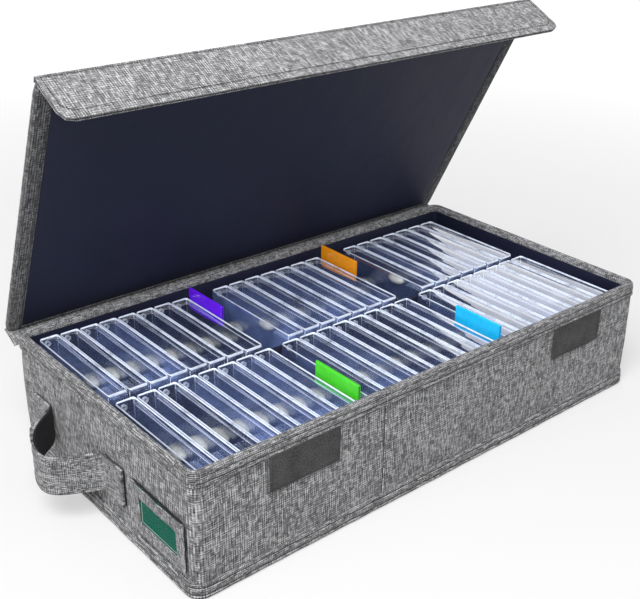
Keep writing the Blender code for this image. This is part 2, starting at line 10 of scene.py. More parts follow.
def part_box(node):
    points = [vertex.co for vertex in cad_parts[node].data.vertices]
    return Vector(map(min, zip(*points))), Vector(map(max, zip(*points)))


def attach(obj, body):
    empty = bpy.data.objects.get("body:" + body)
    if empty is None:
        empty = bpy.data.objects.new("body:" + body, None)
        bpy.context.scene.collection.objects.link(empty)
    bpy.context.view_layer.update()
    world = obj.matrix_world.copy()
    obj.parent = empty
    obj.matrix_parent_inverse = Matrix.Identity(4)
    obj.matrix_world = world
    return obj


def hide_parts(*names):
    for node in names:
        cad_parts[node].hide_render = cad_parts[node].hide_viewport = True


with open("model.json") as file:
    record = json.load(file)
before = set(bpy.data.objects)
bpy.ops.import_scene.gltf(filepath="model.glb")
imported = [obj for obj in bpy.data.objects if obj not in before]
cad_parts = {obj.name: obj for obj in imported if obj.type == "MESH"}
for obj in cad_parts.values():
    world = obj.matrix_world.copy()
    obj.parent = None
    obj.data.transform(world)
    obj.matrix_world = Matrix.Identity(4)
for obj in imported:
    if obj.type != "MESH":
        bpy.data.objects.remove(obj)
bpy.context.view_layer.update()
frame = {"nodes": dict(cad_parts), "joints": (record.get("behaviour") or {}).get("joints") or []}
nodes = frame["nodes"]
joints = {j["name"]: j for j in frame["joints"]}
scene = bpy.context.scene
print("frame loaded:", len(nodes), "nodes")


# places read from the frame
def boxOf(name):
    lo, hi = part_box(name)
    return np.array(lo), np.array(hi)


rimLo, rimHi = boxOf("rim_binding")
weltLo, weltHi = boxOf("bottom_welt")
coverLo, coverHi = boxOf("cover_wall")
liningLo = boxOf("lining_wall")[0]
halfX, halfY = rimHi[0], rimHi[1]
hingeY, hingeZ = joints["lid_hinge"]["pos_m"][1:]
lidAngle = math.radians(-joints["lid_hinge"]["range_deg"][0])

lid = {
    "skew": 0.0062,  # the fabric lid leans this far to the left at its free edge
    "cover": 0.0012,
    "board": 0.0024,
    "lining": 0.0008,
    "gap": 0.0003,
    "binding": 0.012,
    "corner": 0.004,
    "cell": 0.006,
}


def turnLid(y, z, angle):
    # a point turned about the lid's hinge
    y, z = y - hingeY, z - hingeZ
    c, s = math.cos(angle), math.sin(angle)
    return hingeY + y * c - z * s, hingeZ + y * s + z * c


def closedBox(name):
    # a lid or flap node's box with the lid turned shut
    co = np.array([(v.co[0], *turnLid(v.co[1], v.co[2], lidAngle)) for v in nodes[name].data.vertices])
    return co.min(0), co.max(0)


lidLo, lidHi = closedBox("lid_cover")
flapLo, flapHi = closedBox("flap_cover")
lidReach = hingeY - flapLo[1]


def lidPoint(p):
    # from the lid closed to the lid at rest, with the fabric's lean
    lean = lid["skew"] * min(max((hingeY - p[1]) / lidReach, 0.0), 1.1)
    return (p[0] - lean, *turnLid(p[1], p[2], -lidAngle))


# mesh helpers
def smoothNoise(p, scale, seed=0.0):
    return noise.noise(Vector((p[0] / scale + seed, p[1] / scale - seed, p[2] / scale + 2 * seed)))


def newPiece(name, mesh):
    piece = bpy.data.objects.new(name, mesh)
    scene.collection.objects.link(piece)
    return piece


def smoothFaces(mesh, sharpAt=40.0):
    mesh.shade_smooth()
    mesh.set_sharp_from_angle(angle=math.radians(sharpAt))


def fillMesh(mesh, work):
    # the finished bmesh goes into the mesh, its normals out
    bmesh.ops.recalc_face_normals(work, faces=work.faces)
    work.to_mesh(mesh)
    work.free()


def makePiece(name, points, faces, uvs=None):
    mesh = bpy.data.meshes.new(name)
    mesh.from_pydata([tuple(p) for p in points], [], [tuple(f) for f in faces])
    mesh.update()
    if uvs is not None:
        layer = mesh.uv_layers.new(name="weave")
        for loop in mesh.loops:
            layer.data[loop.index].uv = uvs[loop.vertex_index]
    work = bmesh.new()
    work.from_mesh(mesh)
    fillMesh(mesh, work)
    smoothFaces(mesh)
    return newPiece(name, mesh)


def boxWeave(piece):
    # a flat map in metres, laid on each face by the way it faces
    mesh = piece.data
    layer = mesh.uv_layers.get("weave") or mesh.uv_layers.new(name="weave")
    for face in mesh.polygons:
        corners = [np.array(mesh.vertices[i].co) for i in face.vertices]
        normal = np.cross(corners[1] - corners[0], corners[2] - corners[0])
        flat = int(np.argmax(np.abs(normal)))
        pick = [k for k in range(3) if k != flat]
        for index, corner in zip(face.loop_indices, corners):
            layer.data[index].uv = corner[pick]


def movePoints(piece, place):
    for vertex in piece.data.vertices:
        vertex.co = place(np.array(vertex.co))
    piece.data.update()


def roundedPath(reachX, reachY, radius, cell, extraX=()):
    # plan points with outward normals and the run along them, starting at the back left
    path = []
    arc = 8

    def straight(a, b, normal, extra=()):
        a, b = np.array(a), np.array(b)
        count = max(int(np.linalg.norm(b - a) / cell), 2)
        shares = [i / count for i in range(count)]
        shares += [(x - a[0]) / (b[0] - a[0]) for x in extra]
        for t in sorted(shares):
            path.append((*(a + (b - a) * t), *normal))

    def corner(x, y, start):
        for i in range(arc):
            t = start + math.pi / 2 * i / arc
            path.append((x + radius * math.cos(t), y + radius * math.sin(t), math.cos(t), math.sin(t)))

    ix, iy = reachX - radius, reachY - radius
    straight((-reachX, iy), (-reachX, -iy), (-1.0, 0.0))
    corner(-ix, -iy, math.pi)
    straight((-ix, -reachY), (ix, -reachY), (0.0, -1.0), extraX)
    corner(ix, -iy, -math.pi / 2)
    straight((reachX, -iy), (reachX, iy), (1.0, 0.0))
    corner(ix, iy, 0.0)
    straight((ix, reachY), (-ix, reachY), (0.0, 1.0))
    corner(-ix, iy, math.pi / 2)
    run, done = [0.0], 0.0
    for a, b in zip(path, path[1:]):
        done += math.hypot(b[0] - a[0], b[1] - a[1]) * (1 - tray["endWeave"] * abs(a[2]))
        run.append(done)
    return [(*p, s) for p, s in zip(path, run)]


def sweepRing(name, path, profile, push=None, turned=False):
    # a closed profile of (out, z) carried round a closed plan path
    count, around = len(path), len(profile)
    lengths = [0.0]
    for a, b in zip(profile, profile[1:]):
        lengths.append(lengths[-1] + math.hypot(b[0] - a[0], b[1] - a[1]))
    points, uvs, faces = [], [], []
    for x, y, nx, ny, s in path:
        for (out, z), v in zip(profile, lengths):
            extra = push((x, y, z), out, z, s) if push else 0.0
            points.append((x + nx * (out + extra), y + ny * (out + extra), z))
            uvs.append((v, s) if turned else (s, v))
    for i in range(count):
        j = (i + 1) % count
        for k in range(around):
            m = (k + 1) % around
            faces.append((i * around + k, j * around + k, j * around + m, i * around + m))
    return makePiece(name, points, faces, uvs)


def edgeSteps(length, radius, cell):
    near = [0.0, 0.12 * radius, 0.4 * radius, radius]
    count = max(int((length - 2 * radius) / cell), 1)
    inner = [radius + (length - 2 * radius) * i / count for i in range(1, count)]
    return near + inner + [length - s for s in near[::-1]]


def plateGrid(lo, hi, edge, cell, radii, dome):
    # a soft-edged plate; radii are those in plan: lower left, lower right, upper right, upper left
    lo, hi = np.array(lo, float), np.array(hi, float)
    size = hi - lo
    xs = edgeSteps(size[0], edge, cell)
    ys = edgeSteps(size[1], edge, cell)
    plan = ((0.0, 0.0, 1, 1), (size[0], 0.0, -1, 1), (size[0], size[1], -1, -1), (0.0, size[1], 1, -1))

    def planned(x, y):
        for radius, (cx, cy, sx, sy) in zip(radii, plan):
            if radius:
                u = 1 - (x - cx) * sx / radius
                v = 1 - (y - cy) * sy / radius
                if u > 0 and v > 0:
                    u, v = u * math.sqrt(1 - v * v / 2), v * math.sqrt(1 - u * u / 2)
                    return cx + sx * radius * (1 - u), cy + sy * radius * (1 - v)
        return x, y

    def drop(x, y):
        near = min(x, y, size[0] - x, size[1] - y)
        if near >= edge:
            return 0.0
        return edge - math.sqrt(max(edge**2 - (edge - near) ** 2, 0.0))

    points, faces, index = [], [], {}
    for side in (1, 0):
        for i, x in enumerate(xs):
            for j, y in enumerate(ys):
                rim = i in (0, len(xs) - 1) or j in (0, len(ys) - 1)
                px, py = planned(x, y)
                fall = min(drop(x, y), size[2] * 0.45)
                z = size[2] - fall if side else fall
                if dome:
                    z += dome(px, py, side) * (0.0 if rim else 1.0)
                index[side, i, j] = len(points)
                points.append(lo + np.array([px, py, z]))
    for i in range(len(xs) - 1):
        for j in range(len(ys) - 1):
            a, b, c, d = (i, j), (i + 1, j), (i + 1, j + 1), (i, j + 1)
            faces.append([index[(1, *q)] for q in (a, b, c, d)])
            faces.append([index[(0, *q)] for q in (d, c, b, a)])
    ring = [(i, 0) for i in range(len(xs) - 1)]
    ring += [(len(xs) - 1, j) for j in range(len(ys) - 1)]
    ring += [(i, len(ys) - 1) for i in range(len(xs) - 1, 0, -1)]
    ring += [(0, j) for j in range(len(ys) - 1, 0, -1)]
    for a, b in zip(ring, ring[1:] + ring[:1]):
        faces.append([index[(0, *a)], index[(0, *b)], index[(1, *b)], index[(1, *a)]])
    return points, faces


def plate(name, lo, hi, edge, cell, radii=(0, 0, 0, 0), dome=None, place=None, axes="xyz"):
    # axes names which world axis each plate axis follows, so an upright plate is drawn flat first
    order = ["xyz".index(a) for a in axes]
    flat, faces = plateGrid([lo[k] for k in order], [hi[k] for k in order], edge, cell, radii, dome)
    points = np.zeros((len(flat), 3))
    points[:, order] = np.array(flat)
    piece = makePiece(name, points, faces)
    boxWeave(piece)
    if place:
        movePoints(piece, place)
    return piece


def fromNode(name, nodeName, bevel):
    # a copy of a frame node with its doubles merged and its edges softened
    mesh = nodes[nodeName].data.copy()
    mesh.name = name
    work = bmesh.new()
    work.from_mesh(mesh)
    bmesh.ops.remove_doubles(work, verts=work.verts, dist=0.00002)
    bmesh.ops.dissolve_limit(work, angle_limit=math.radians(1.0), verts=work.verts, edges=work.edges)
    hard = [e for e in work.edges if len(e.link_faces) == 2 and e.calc_face_angle(0.0) > math.radians(30)]
    rounding = {"segments": 2, "profile": 0.5, "affect": "EDGES", "clamp_overlap": True}
    bmesh.ops.bevel(work, geom=hard, offset=bevel, **rounding)
    fillMesh(mesh, work)
    piece = newPiece(name, mesh)
    boxWeave(piece)
    smoothFaces(mesh)
    return piece


def planLoop(lo, hi, radius, alongX=3, alongY=8, arc=3):
    # a rounded rectangle as a loop of points; the count depends only on the last three numbers
    (x0, y0), (x1, y1), r = lo, hi, radius
    sides = (
        ((x0, y1 - r), (x0, y0 + r), alongY, (x0 + r, y0 + r), math.pi),
        ((x0 + r, y0), (x1 - r, y0), alongX, (x1 - r, y0 + r), math.pi * 1.5),
        ((x1, y0 + r), (x1, y1 - r), alongY, (x1 - r, y1 - r), 0.0),
        ((x1 - r, y1), (x0 + r, y1), alongX, (x0 + r, y1 - r), math.pi * 0.5),
    )
    loop = []
    for a, b, count, centre, start in sides:
        for i in range(count):
            t = i / count
            loop.append((a[0] + (b[0] - a[0]) * t, a[1] + (b[1] - a[1]) * t))
        for i in range(arc):
            t = start + math.pi / 2 * i / arc
            loop.append((centre[0] + r * math.cos(t), centre[1] + r * math.sin(t)))
    return loop


def joinRings(work, rings, capped=False):
    made = [[work.verts.new(p) for p in ring] for ring in rings]
    pairs = list(zip(made, made[1:])) if capped else list(zip(made, made[1:] + made[:1]))
    for a, b in pairs:
        for i in range(len(a)):
            j = (i + 1) % len(a)
            work.faces.new((a[i], a[j], b[j], b[i]))
    if capped:
        work.faces.new(made[0][::-1])
        work.faces.new(made[-1])


def builtPiece(name, build):
    # an object of what build draws in a bmesh
    work = bmesh.new()
    build(work)
    mesh = bpy.data.meshes.new(name)
    fillMesh(mesh, work)
    return newPiece(name, mesh)


def loopPiece(name, rings, place=None, capped=False):
    # a closed band made of rings of points, or a rod when it is capped
    piece = builtPiece(name, lambda work: joinRings(work, rings, capped))
    boxWeave(piece)
    if place:
        movePoints(piece, place)
    smoothFaces(piece.data, 45)
    return piece


# node helpers, for materials and for geometry trees
def feed(tree, made, inputs):
    # each input by name or number: a plain value, or the socket that drives it
    for key, value in inputs.items():
        if isinstance(value, bpy.types.NodeSocket):
            tree.links.new(value, made.inputs[key])
        else:
            made.inputs[key].default_value = value


def node(tree, kind, inputs=(), **settings):
    made = tree.nodes.new(kind)
    for key, value in settings.items():
        setattr(made, key, value)
    feed(tree, made, dict(inputs))
    return made


def mathNode(tree, operation, a, b=0.0, clamp=False):
    return node(tree, "ShaderNodeMath", {0: a, 1: b}, operation=operation, use_clamp=clamp).outputs[0]


def times(tree, a, b, clamp=False):
    return mathNode(tree, "MULTIPLY", a, b, clamp)


def plus(tree, a, b, clamp=False):
    return mathNode(tree, "ADD", a, b, clamp)


def minus(tree, a, b, clamp=False):
    return mathNode(tree, "SUBTRACT", a, b, clamp)


def newMaterial(name):
    material = bpy.data.materials.new(name)
    material.use_nodes = True
    return material, material.node_tree, material.node_tree.nodes["Principled BSDF"]


def weaveCoords(tree, scaleU, scaleV, shift=0.0, turn=0.0):
    # the piece's own map, stretched to so many repeats a metre each way
    uv = node(tree, "ShaderNodeUVMap", uv_map="weave")
    wanted = {"Vector": uv.outputs["UV"], "Scale": (scaleU, scaleV, 1.0), "Rotation": (0.0, 0.0, turn)}
    wanted["Location"] = (shift, shift * 0.7, 0.0)
    return node(tree, "ShaderNodeMapping", wanted).outputs["Vector"]


def ownCoords(tree):
    return node(tree, "ShaderNodeTexCoord").outputs["Object"]


def noiseAt(tree, vector, detail=2.0, roughness=0.5, scale=1.0):
    wanted = {"Vector": vector, "Scale": scale, "Detail": detail, "Roughness": roughness}
    return node(tree, "ShaderNodeTexNoise", wanted, noise_dimensions="3D").outputs["Fac"]


def ramp(tree, fac, stops):
    made = node(tree, "ShaderNodeValToRGB", {"Fac": fac})
    elements = made.color_ramp.elements
    while len(elements) < len(stops):
        elements.new(0.5)
    for element, (place, colour) in zip(elements, stops):
        element.position = place
        element.color = (*colour, 1.0)
    return made.outputs["Color"]


def toned(colour, tone):
    return tuple(c * tone for c in colour)


def bump(tree, shader, height, strength, distance):
    made = node(tree, "ShaderNodeBump", {"Strength": strength, "Distance": distance, "Height": height})
    feed(tree, shader, {"Normal": made.outputs["Normal"]})


def wovenHeight(tree, pitch):
    # over-and-under of warp and weft; a wave texture repeats every 0.314
    repeat = 0.314 / pitch
    waves = []
    for scaleV, turn in ((0.0, 0.0), (repeat, math.pi / 2)):
        wanted = {"Vector": weaveCoords(tree, repeat, scaleV, turn=turn)}
        wanted |= {"Scale": 1.0, "Distortion": 0.6, "Detail": 1.0}
        bands = {"wave_type": "BANDS", "bands_direction": "X", "wave_profile": "SIN"}
        waves.append(node(tree, "ShaderNodeTexWave", wanted, **bands).outputs["Fac"])
    return times(tree, *waves)


# cloth materials
heather = {
    "dark": (0.026, 0.026, 0.028),
    "mid": (0.165, 0.165, 0.171),
    "light": (0.56, 0.56, 0.57),
    "acrossThread": 0.00090,
    "alongThread": 0.0046,
    "evenOdd": 0.34,  # how much lighter every second thread is
    "drift": 1.4,  # how many threads a line wanders
    "uprightShare": 0.52,
    "levelShare": 0.38,
    "contrast": 1.50,
    "fleck": 0.17,
    "cloud": 0.10,
    "threadPitch": 0.0009,
    "roughness": 0.95,
}


def threadTones(tree, across, along, upright, seed):
    # a random tone for each length of each thread that runs up (or across) the cloth
    uv = node(tree, "ShaderNodeUVMap", uv_map="weave")
    split = node(tree, "ShaderNodeSeparateXYZ", {0: uv.outputs["UV"]})
    sideways, lengthways = ("X", "Y") if upright else ("Y", "X")
    drift = noiseAt(tree, weaveCoords(tree, 1 / 0.03, 1 / 0.03, seed), detail=1.0)
    place = times(tree, split.outputs[sideways], 1 / across)
    thread = mathNode(tree, "FLOOR", plus(tree, place, times(tree, drift, heather["drift"])))
    start = node(tree, "ShaderNodeTexWhiteNoise", {"W": plus(tree, thread, seed)}, noise_dimensions="1D")
    run = times(tree, split.outputs[lengthways], 1 / along)
    run = plus(tree, run, times(tree, start.outputs["Value"], 37.0))
    cell = node(tree, "ShaderNodeCombineXYZ", {"X": thread, "Y": mathNode(tree, "FLOOR", run)})
    tone = node(tree, "ShaderNodeTexWhiteNoise", {"Vector": cell.outputs[0]}, noise_dimensions="2D")
    second = times(tree, mathNode(tree, "FLOORED_MODULO", thread, 2.0), heather["evenOdd"])
    return plus(tree, times(tree, tone.outputs["Value"], 1 - heather["evenOdd"]), second)


def heatherMaterial(name, tone=1.0, contrast=1.0, size=1.0):
    material, tree, shader = newMaterial(name)
    across, along = heather["acrossThread"] * size, heather["alongThread"] * size
    upright = times(tree, threadTones(tree, across, along, True, 5.0), heather["uprightShare"])
    level = times(tree, threadTones(tree, across, along * 0.7, False, 9.0), heather["levelShare"])
    fleck = noiseAt(tree, weaveCoords(tree, 1 / 0.00085, 1 / 0.0020, 13.0))
    wide = noiseAt(tree, weaveCoords(tree, 1 / 0.05, 1 / 0.05, 3.0))
    middle = (heather["uprightShare"] + heather["levelShare"]) / 2
    spread = minus(tree, plus(tree, upright, level), middle)
    spread = plus(tree, spread, times(tree, minus(tree, fleck, 0.5), heather["fleck"]))
    spread = plus(tree, times(tree, spread, heather["contrast"] * contrast), 0.5)
    spread = plus(tree, spread, times(tree, minus(tree, wide, 0.5), heather["cloud"]), True)
    stops = [(i / 2, toned(heather[shade], tone)) for i, shade in enumerate(("dark", "mid", "light"))]
    finish = {"Base Color": ramp(tree, spread, stops), "Roughness": heather["roughness"]}
    finish |= {"Specular IOR Level": 0.15, "Sheen Weight": 0.12, "Sheen Roughness": 0.5}
    feed(tree, shader, finish)
    weave = wovenHeight(tree, heather["threadPitch"])
    bump(tree, shader, plus(tree, times(tree, weave, 0.6), times(tree, spread, 0.9)), 0.55, 0.0004)
    return material


lining = {
    "colour": (0.0074, 0.0088, 0.0262),
    "lighter": (0.0145, 0.0165, 0.0410),
    "roughness": 0.54,
    "threadPitch": 0.0006,
}


def liningMaterial(name, tone=1.0):
    material, tree, shader = newMaterial(name)
    cloud = noiseAt(tree, weaveCoords(tree, 1 / 0.06, 1 / 0.06), detail=4.0, roughness=0.6)
    thread = noiseAt(tree, weaveCoords(tree, 1 / 0.0008, 1 / 0.003, 4.0), detail=1.0)
    both = plus(tree, times(tree, cloud, 0.6), times(tree, thread, 0.4))
    colour = ramp(tree, both, [(0.3, toned(lining["colour"], tone)), (0.75, toned(lining["lighter"], tone))])
    rough = plus(tree, times(tree, cloud, 0.15), lining["roughness"] - 0.07)
    feed(tree, shader, {"Base Color": colour, "Roughness": rough, "Specular IOR Level": 0.29})
    weave = times(tree, wovenHeight(tree, lining["threadPitch"]), 0.05)
    soft = noiseAt(tree, weaveCoords(tree, 1 / 0.03, 1 / 0.045, 8.0))
    bump(tree, shader, plus(tree, weave, soft), 0.25, 0.004)
    return material


def fuzzyMaterial(name, dark, light, size, depth):
    material, tree, shader = newMaterial(name)
    fine = noiseAt(tree, weaveCoords(tree, 1 / size, 1 / size), detail=4.0, roughness=0.7)
    wide = noiseAt(tree, weaveCoords(tree, 1 / 0.012, 1 / 0.012, 2.0))
    both = plus(tree, times(tree, fine, 0.75), times(tree, wide, 0.25))
    colour = ramp(tree, both, [(0.35, dark), (0.68, light)])
    finish = {"Base Color": colour, "Roughness": 1.0, "Specular IOR Level": 0.05, "Sheen Weight": 0.06}
    feed(tree, shader, finish)
    bump(tree, shader, fine, 0.8, depth)
    return material


def boardMaterial(name, dark, light):
    material, tree, shader = newMaterial(name)
    fibre = noiseAt(tree, ownCoords(tree), detail=6.0, roughness=0.7, scale=420.0)
    feed(tree, shader, {"Base Color": ramp(tree, fibre, [(0.3, dark), (0.7, light)]), "Roughness": 0.9})
    bump(tree, shader, fibre, 0.3, 0.0003)
    return material


# plastic materials
clear = {
    "mirror": 0.06,  # share mirrored when seen square on
    "mirrorRise": 2.2,  # how soon that grows towards a glancing view
    "topGain": 0.85,  # how much sooner on faces that look up
    "haze": 0.085,
    "hazeColour": (0.36, 0.50, 1.0),
    "leafHaze": 0.10,
    "ledgeHaze": 0.34,
    "ledgeColour": (0.46, 0.52, 0.86),
    # the near-white lines along the cases' edges, share and colour: painted highlight of the light their
    # edges carry
    "edgeHighlightShare": 0.97,
    "edgeHighlightColour": (0.80, 0.86, 0.97),
    "through": (0.965, 0.975, 0.995),
}


def clearMaterial(
    name,
    haze,
    hazeColour,
    through=clear["through"],
    mirror=clear["mirror"],
    gloss=0.04,
    rise=clear["mirrorRise"],
    domed=False,
    caseTones=False,
):
    # clear plastic as a film: it mirrors by angle, carries some haze, and lets the rest through
    material, tree, shader = newMaterial(name)

    def mix(share, first, second):
        inputs = {"Fac": share, 1: first.outputs[0], 2: second.outputs[0]}
        return node(tree, "ShaderNodeMixShader", inputs)

    def seeThrough(colour):
        return node(tree, "ShaderNodeBsdfTransparent", {"Color": (*colour, 1.0)})

    smear = noiseAt(tree, ownCoords(tree), detail=4.0, roughness=0.65, scale=55.0)
    facing = node(tree, "ShaderNodeLayerWeight", {"Blend": 0.5}).outputs["Facing"]
    feed(tree, shader, {"Base Color": (*hazeColour, 1.0), "Roughness": 0.35})
    shine = node(tree, "ShaderNodeBsdfGlossy", {"Color": (0.94, 0.96, 1.0, 1.0), "Roughness": gloss})
    patchy = minus(tree, times(tree, smear, 3.2), 0.6)
    veil = times(tree, mathNode(tree, "MAXIMUM", patchy, 0.15), haze, True)
    if caseTones:
        tone = node(tree, "ShaderNodeAttribute", attribute_name="caseTone").outputs["Fac"]
        veil = times(tree, veil, plus(tree, tone, 1.0), True)
    if domed:
        veil = times(tree, veil, mathNode(tree, "POWER", minus(tree, 1.0, facing, True), 1.1), True)
    film = mix(veil, seeThrough(through), shader)
    # a closed case has two sheets on top, so what faces up mirrors more
    normal = node(tree, "ShaderNodeNewGeometry").outputs["Normal"]
    upward = mathNode(tree, "ABSOLUTE", node(tree, "ShaderNodeSeparateXYZ", {0: normal}).outputs["Z"])
    power = minus(tree, rise, times(tree, upward, clear["topGain"]))
    steep = mathNode(tree, "POWER", facing, power)
    final = mix(plus(tree, times(tree, steep, 1.0 - mirror), mirror, True), film, shine)
    shadow = node(tree, "ShaderNodeLightPath").outputs["Is Shadow Ray"]
    shaded = mix(shadow, final, seeThrough(toned(through, 1 - 0.6 * haze)))
    feed(tree, tree.nodes["Material Output"], {"Surface": shaded.outputs[0]})
    return material


def tintedMaterial(name, colour, roughness=0.16):
    # glossy dyed plastic with faint scuffs
    material, tree, shader = newMaterial(name)
    scuff = noiseAt(tree, ownCoords(tree), detail=5.0, roughness=0.7, scale=240.0)
    dyed = ramp(tree, scuff, [(0.3, toned(colour, 0.82)), (0.65, colour)])
    rough = plus(tree, times(tree, scuff, 0.12), roughness - 0.06)
    feed(tree, shader, {"Base Color": dyed, "Roughness": rough, "Coat Weight": 0.4, "Coat Roughness": 0.08})
    return material


heatherCloth = heatherMaterial("heatherCloth")
heatherTrim = heatherMaterial("heatherTrim", 0.92, 1.05, 0.78)
# a lighter, flatter copy of the heather cloth for the lid's cover, its fold and the flap, which face up:
# painted light
heatherPaintedLight = heatherMaterial("heatherPaintedLight", 1.18, 0.80)
# a darker copy of the heather cloth for the lid's binding, which lies in shade: painted shade
heatherPaintedShade = heatherMaterial("heatherPaintedShade", 0.50, 1.0)
navyCloth = liningMaterial("navyCloth")
darkCloth = liningMaterial("darkCloth", 0.8)
loopPile = fuzzyMaterial("loopPile", (0.020, 0.020, 0.021), (0.115, 0.115, 0.115), 0.0012, 0.0006)
hookPile = fuzzyMaterial("hookPile", (0.012, 0.012, 0.013), (0.07, 0.07, 0.072), 0.0009, 0.0006)
webbing = fuzzyMaterial("webbing", (0.005, 0.005, 0.006), (0.034, 0.035, 0.040), 0.0016, 0.0004)
greyBoard = boardMaterial("greyBoard", (0.36, 0.33, 0.29), (0.52, 0.49, 0.44))
softFoam = boardMaterial("softFoam", (0.60, 0.59, 0.54), (0.82, 0.81, 0.77))
# real stitch thread, made dark to carry the painted shade of its needle holes and the grooves it lies in
threadWithGrooveShade = fuzzyMaterial("threadWithGrooveShade", (0.020, 0.020, 0.022), (0.075, 0.075, 0.078), 0.0005, 0.0001)
clearWall = clearMaterial("clearWall", clear["haze"], clear["hazeColour"], caseTones=True)
clearLeaf = clearMaterial("clearLeaf", clear["leafHaze"], clear["hazeColour"], mirror=0.04, caseTones=True)
clearLedge = clearMaterial(
    "clearLedge", clear["ledgeHaze"], clear["ledgeColour"], mirror=0.05, gloss=0.1, caseTones=True
)
# near-white, almost opaque: painted highlight along the cases' edges
clearEdgeHighlight = clearMaterial(
    "clearEdgeHighlight", clear["edgeHighlightShare"], clear["edgeHighlightColour"], mirror=0.10, gloss=0.12, rise=4.0
)
frostLug = clearMaterial(
    "frostLug", 0.78, (0.74, 0.74, 0.67), (0.95, 0.95, 0.93), mirror=0.0, gloss=0.3, domed=True, rise=9.0
)
# the divider sheets' dark navy haze: painted shade of the gap between the cases, with the navy of the lining
dividerFilmPaintedShade = clearMaterial("dividerFilmPaintedShade", 0.62, (0.016, 0.020, 0.055), (0.50, 0.55, 0.75))
windowFilm = clearMaterial(
    "windowFilm", 0.01, (0.7, 0.7, 0.7), (0.985, 0.985, 0.985), mirror=0.002, gloss=0.06, rise=13.0
)
tabFinish = {
    "divider_back_left": tintedMaterial("purplePlastic", (0.165, 0.012, 1.0)),
    "divider_back_right": tintedMaterial("orangePlastic", (1.0, 0.36, 0.008)),
    "divider_front_left": tintedMaterial("greenPlastic", (0.075, 0.68, 0.024)),
    "divider_front_right": tintedMaterial("bluePlastic", (0.016, 0.56, 1.0)),
}
print("materials made")


def shadeAs(piece, material):
    piece.data.materials.clear()
    piece.data.materials.append(material)


def finishPiece(piece, body, material, *replaced, slot=None):
    shadeAs(piece, material)
    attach(piece, body)
    if replaced:
        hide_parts(*replaced)
    return piece


# tray: walls, binding, welt, lining, base
tray = {
    "cornerRadius": 0.009,
    "wall": 0.005,
    "liningFace": 0.0042,  # from the outside to the back of the lining
    "seamX": -0.067,
    "cell": 0.0035,
    "seed": 3.1,
    "endWeave": 0.28,  # the cloth on the end walls was pulled wider by this share
    "foldShort": 0.0056,  # how much shorter the rim's inner fold is than its outer one
    "sewnEnd": 0.026,  # length of a strap's sewn end
    "freeAfter": 0.012,  # how far from a sewn place the cloth is free again
    "bulge": 0.0009,
    "sag": 0.0007,
    "crumple": 0.00028,
    "ripple": 0.00025,
}
seams = [tray["seamX"] + d for d in (-0.0022, -0.0010, -0.0004, 0.0, 0.0004, 0.0010, 0.0022)]
outerPath = roundedPath(halfX, halfY, tray["cornerRadius"], tray["cell"], seams)


def seamFold(x, y, z):
    # the cover's ends are sewn together here: a groove with one lip over the other
    if y > -halfY + 0.001:
        return 0.0
    d = x - tray["seamX"]
    return -0.00065 * math.exp(-((d / 0.0006) ** 2)) + 0.00035 * math.exp(-(((d - 0.0016) / 0.0012) ** 2))


def sewnAreas():
    # places where the cover lies flat under what is sewn to it: end 0, front 1 or back 2, low and high corner
    areas = []
    for name in ("label_pocket", "loop_patch_left", "loop_patch_right"):
        lo, hi = boxOf(name)
        if name == "label_pocket":
            hi[2] = rimHi[2]  # the card slides up along here
        areas.append((1 if "loop" in name else 0, lo, hi))
    for name in ("handle_left_webbing", "handle_right_webbing"):
        lo, hi = boxOf(name)
        for y0, y1 in ((lo[1], lo[1] + tray["sewnEnd"]), (hi[1] - tray["sewnEnd"], hi[1])):
            areas.append((0, np.array((lo[0], y0, lo[2])), np.array((hi[0], y1, hi[2]))))
    # the open lid's hinge strip lies down over the back wall
    areas.append((2, np.array((-halfX, halfY, hingeZ - 0.0185)), np.array((halfX, halfY, rimHi[2]))))
    return areas


sewn = sewnAreas()


def freeCloth(x, y, z):
    # 0 on a sewn-down area, 1 a finger's width away from it
    free = 1.0
    for wall, lo, hi in sewn:
        if wall == 0 and (abs(x) < halfX - 0.002 or x * (lo[0] + hi[0]) < 0):
            continue
        if wall == 1 and y > -halfY + 0.002 or wall == 2 and y < halfY - 0.002:
            continue
        along, k = (y, 1) if wall == 0 else (x, 0)
        apart = max(lo[k] - along, along - hi[k], lo[2] - z, z - hi[2], 0.0)
        free = min(free, apart / tray["freeAfter"])
    return min(free, 1.0)


def wallPush(p, out, z, s):
    if out < -0.0006:
        return 0.0
    high = (z - coverLo[2]) / (coverHi[2] - coverLo[2])
    soft = tray["sag"] * smoothNoise(p, 0.055, tray["seed"]) + tray["crumple"] * smoothNoise(p, 0.017, 7.7)
    ripple = tray["ripple"] * math.sin(s / 0.0065 + 3 * smoothNoise(p, 0.03, 1.3))
    ripple *= high**4 + (1 - high) ** 6
    belly = tray["bulge"] * math.sin(math.pi * high)
    return (soft + ripple + belly) * freeCloth(p[0], p[1], z) - 0.0002 + seamFold(*p)


def wallCover():
    levels = [coverLo[2] + (coverHi[2] - coverLo[2]) * i / 16 for i in range(17)]
    profile = [(-0.0001, z) for z in levels] + [(-0.0012, levels[-1]), (-0.0012, levels[0])]
    return sweepRing("wall_cover_cloth", outerPath, profile, wallPush)


def rimPush(p, out, z, s):
    extra = 0.00022 * smoothNoise(p, 0.012, 4.4) + (0.8 * seamFold(*p) if out > -0.0008 else 0.0)
    if out < -0.0008:
        return extra
    # the binding is pressed flatter behind the card, and flat under the hinge strip
    if p[0] < -halfX + 0.002:
        beside = max(sewn[0][1][1] - p[1], p[1] - sewn[0][2][1], 0.0)
        pressed, most = 1 - min(beside / tray["freeAfter"], 1.0), 0.0004
    else:
        pressed, most = (1.0 if p[1] > halfY - 0.004 else 0.0), 0.0001
    return extra + pressed * (min(out + extra, most) - out - extra)


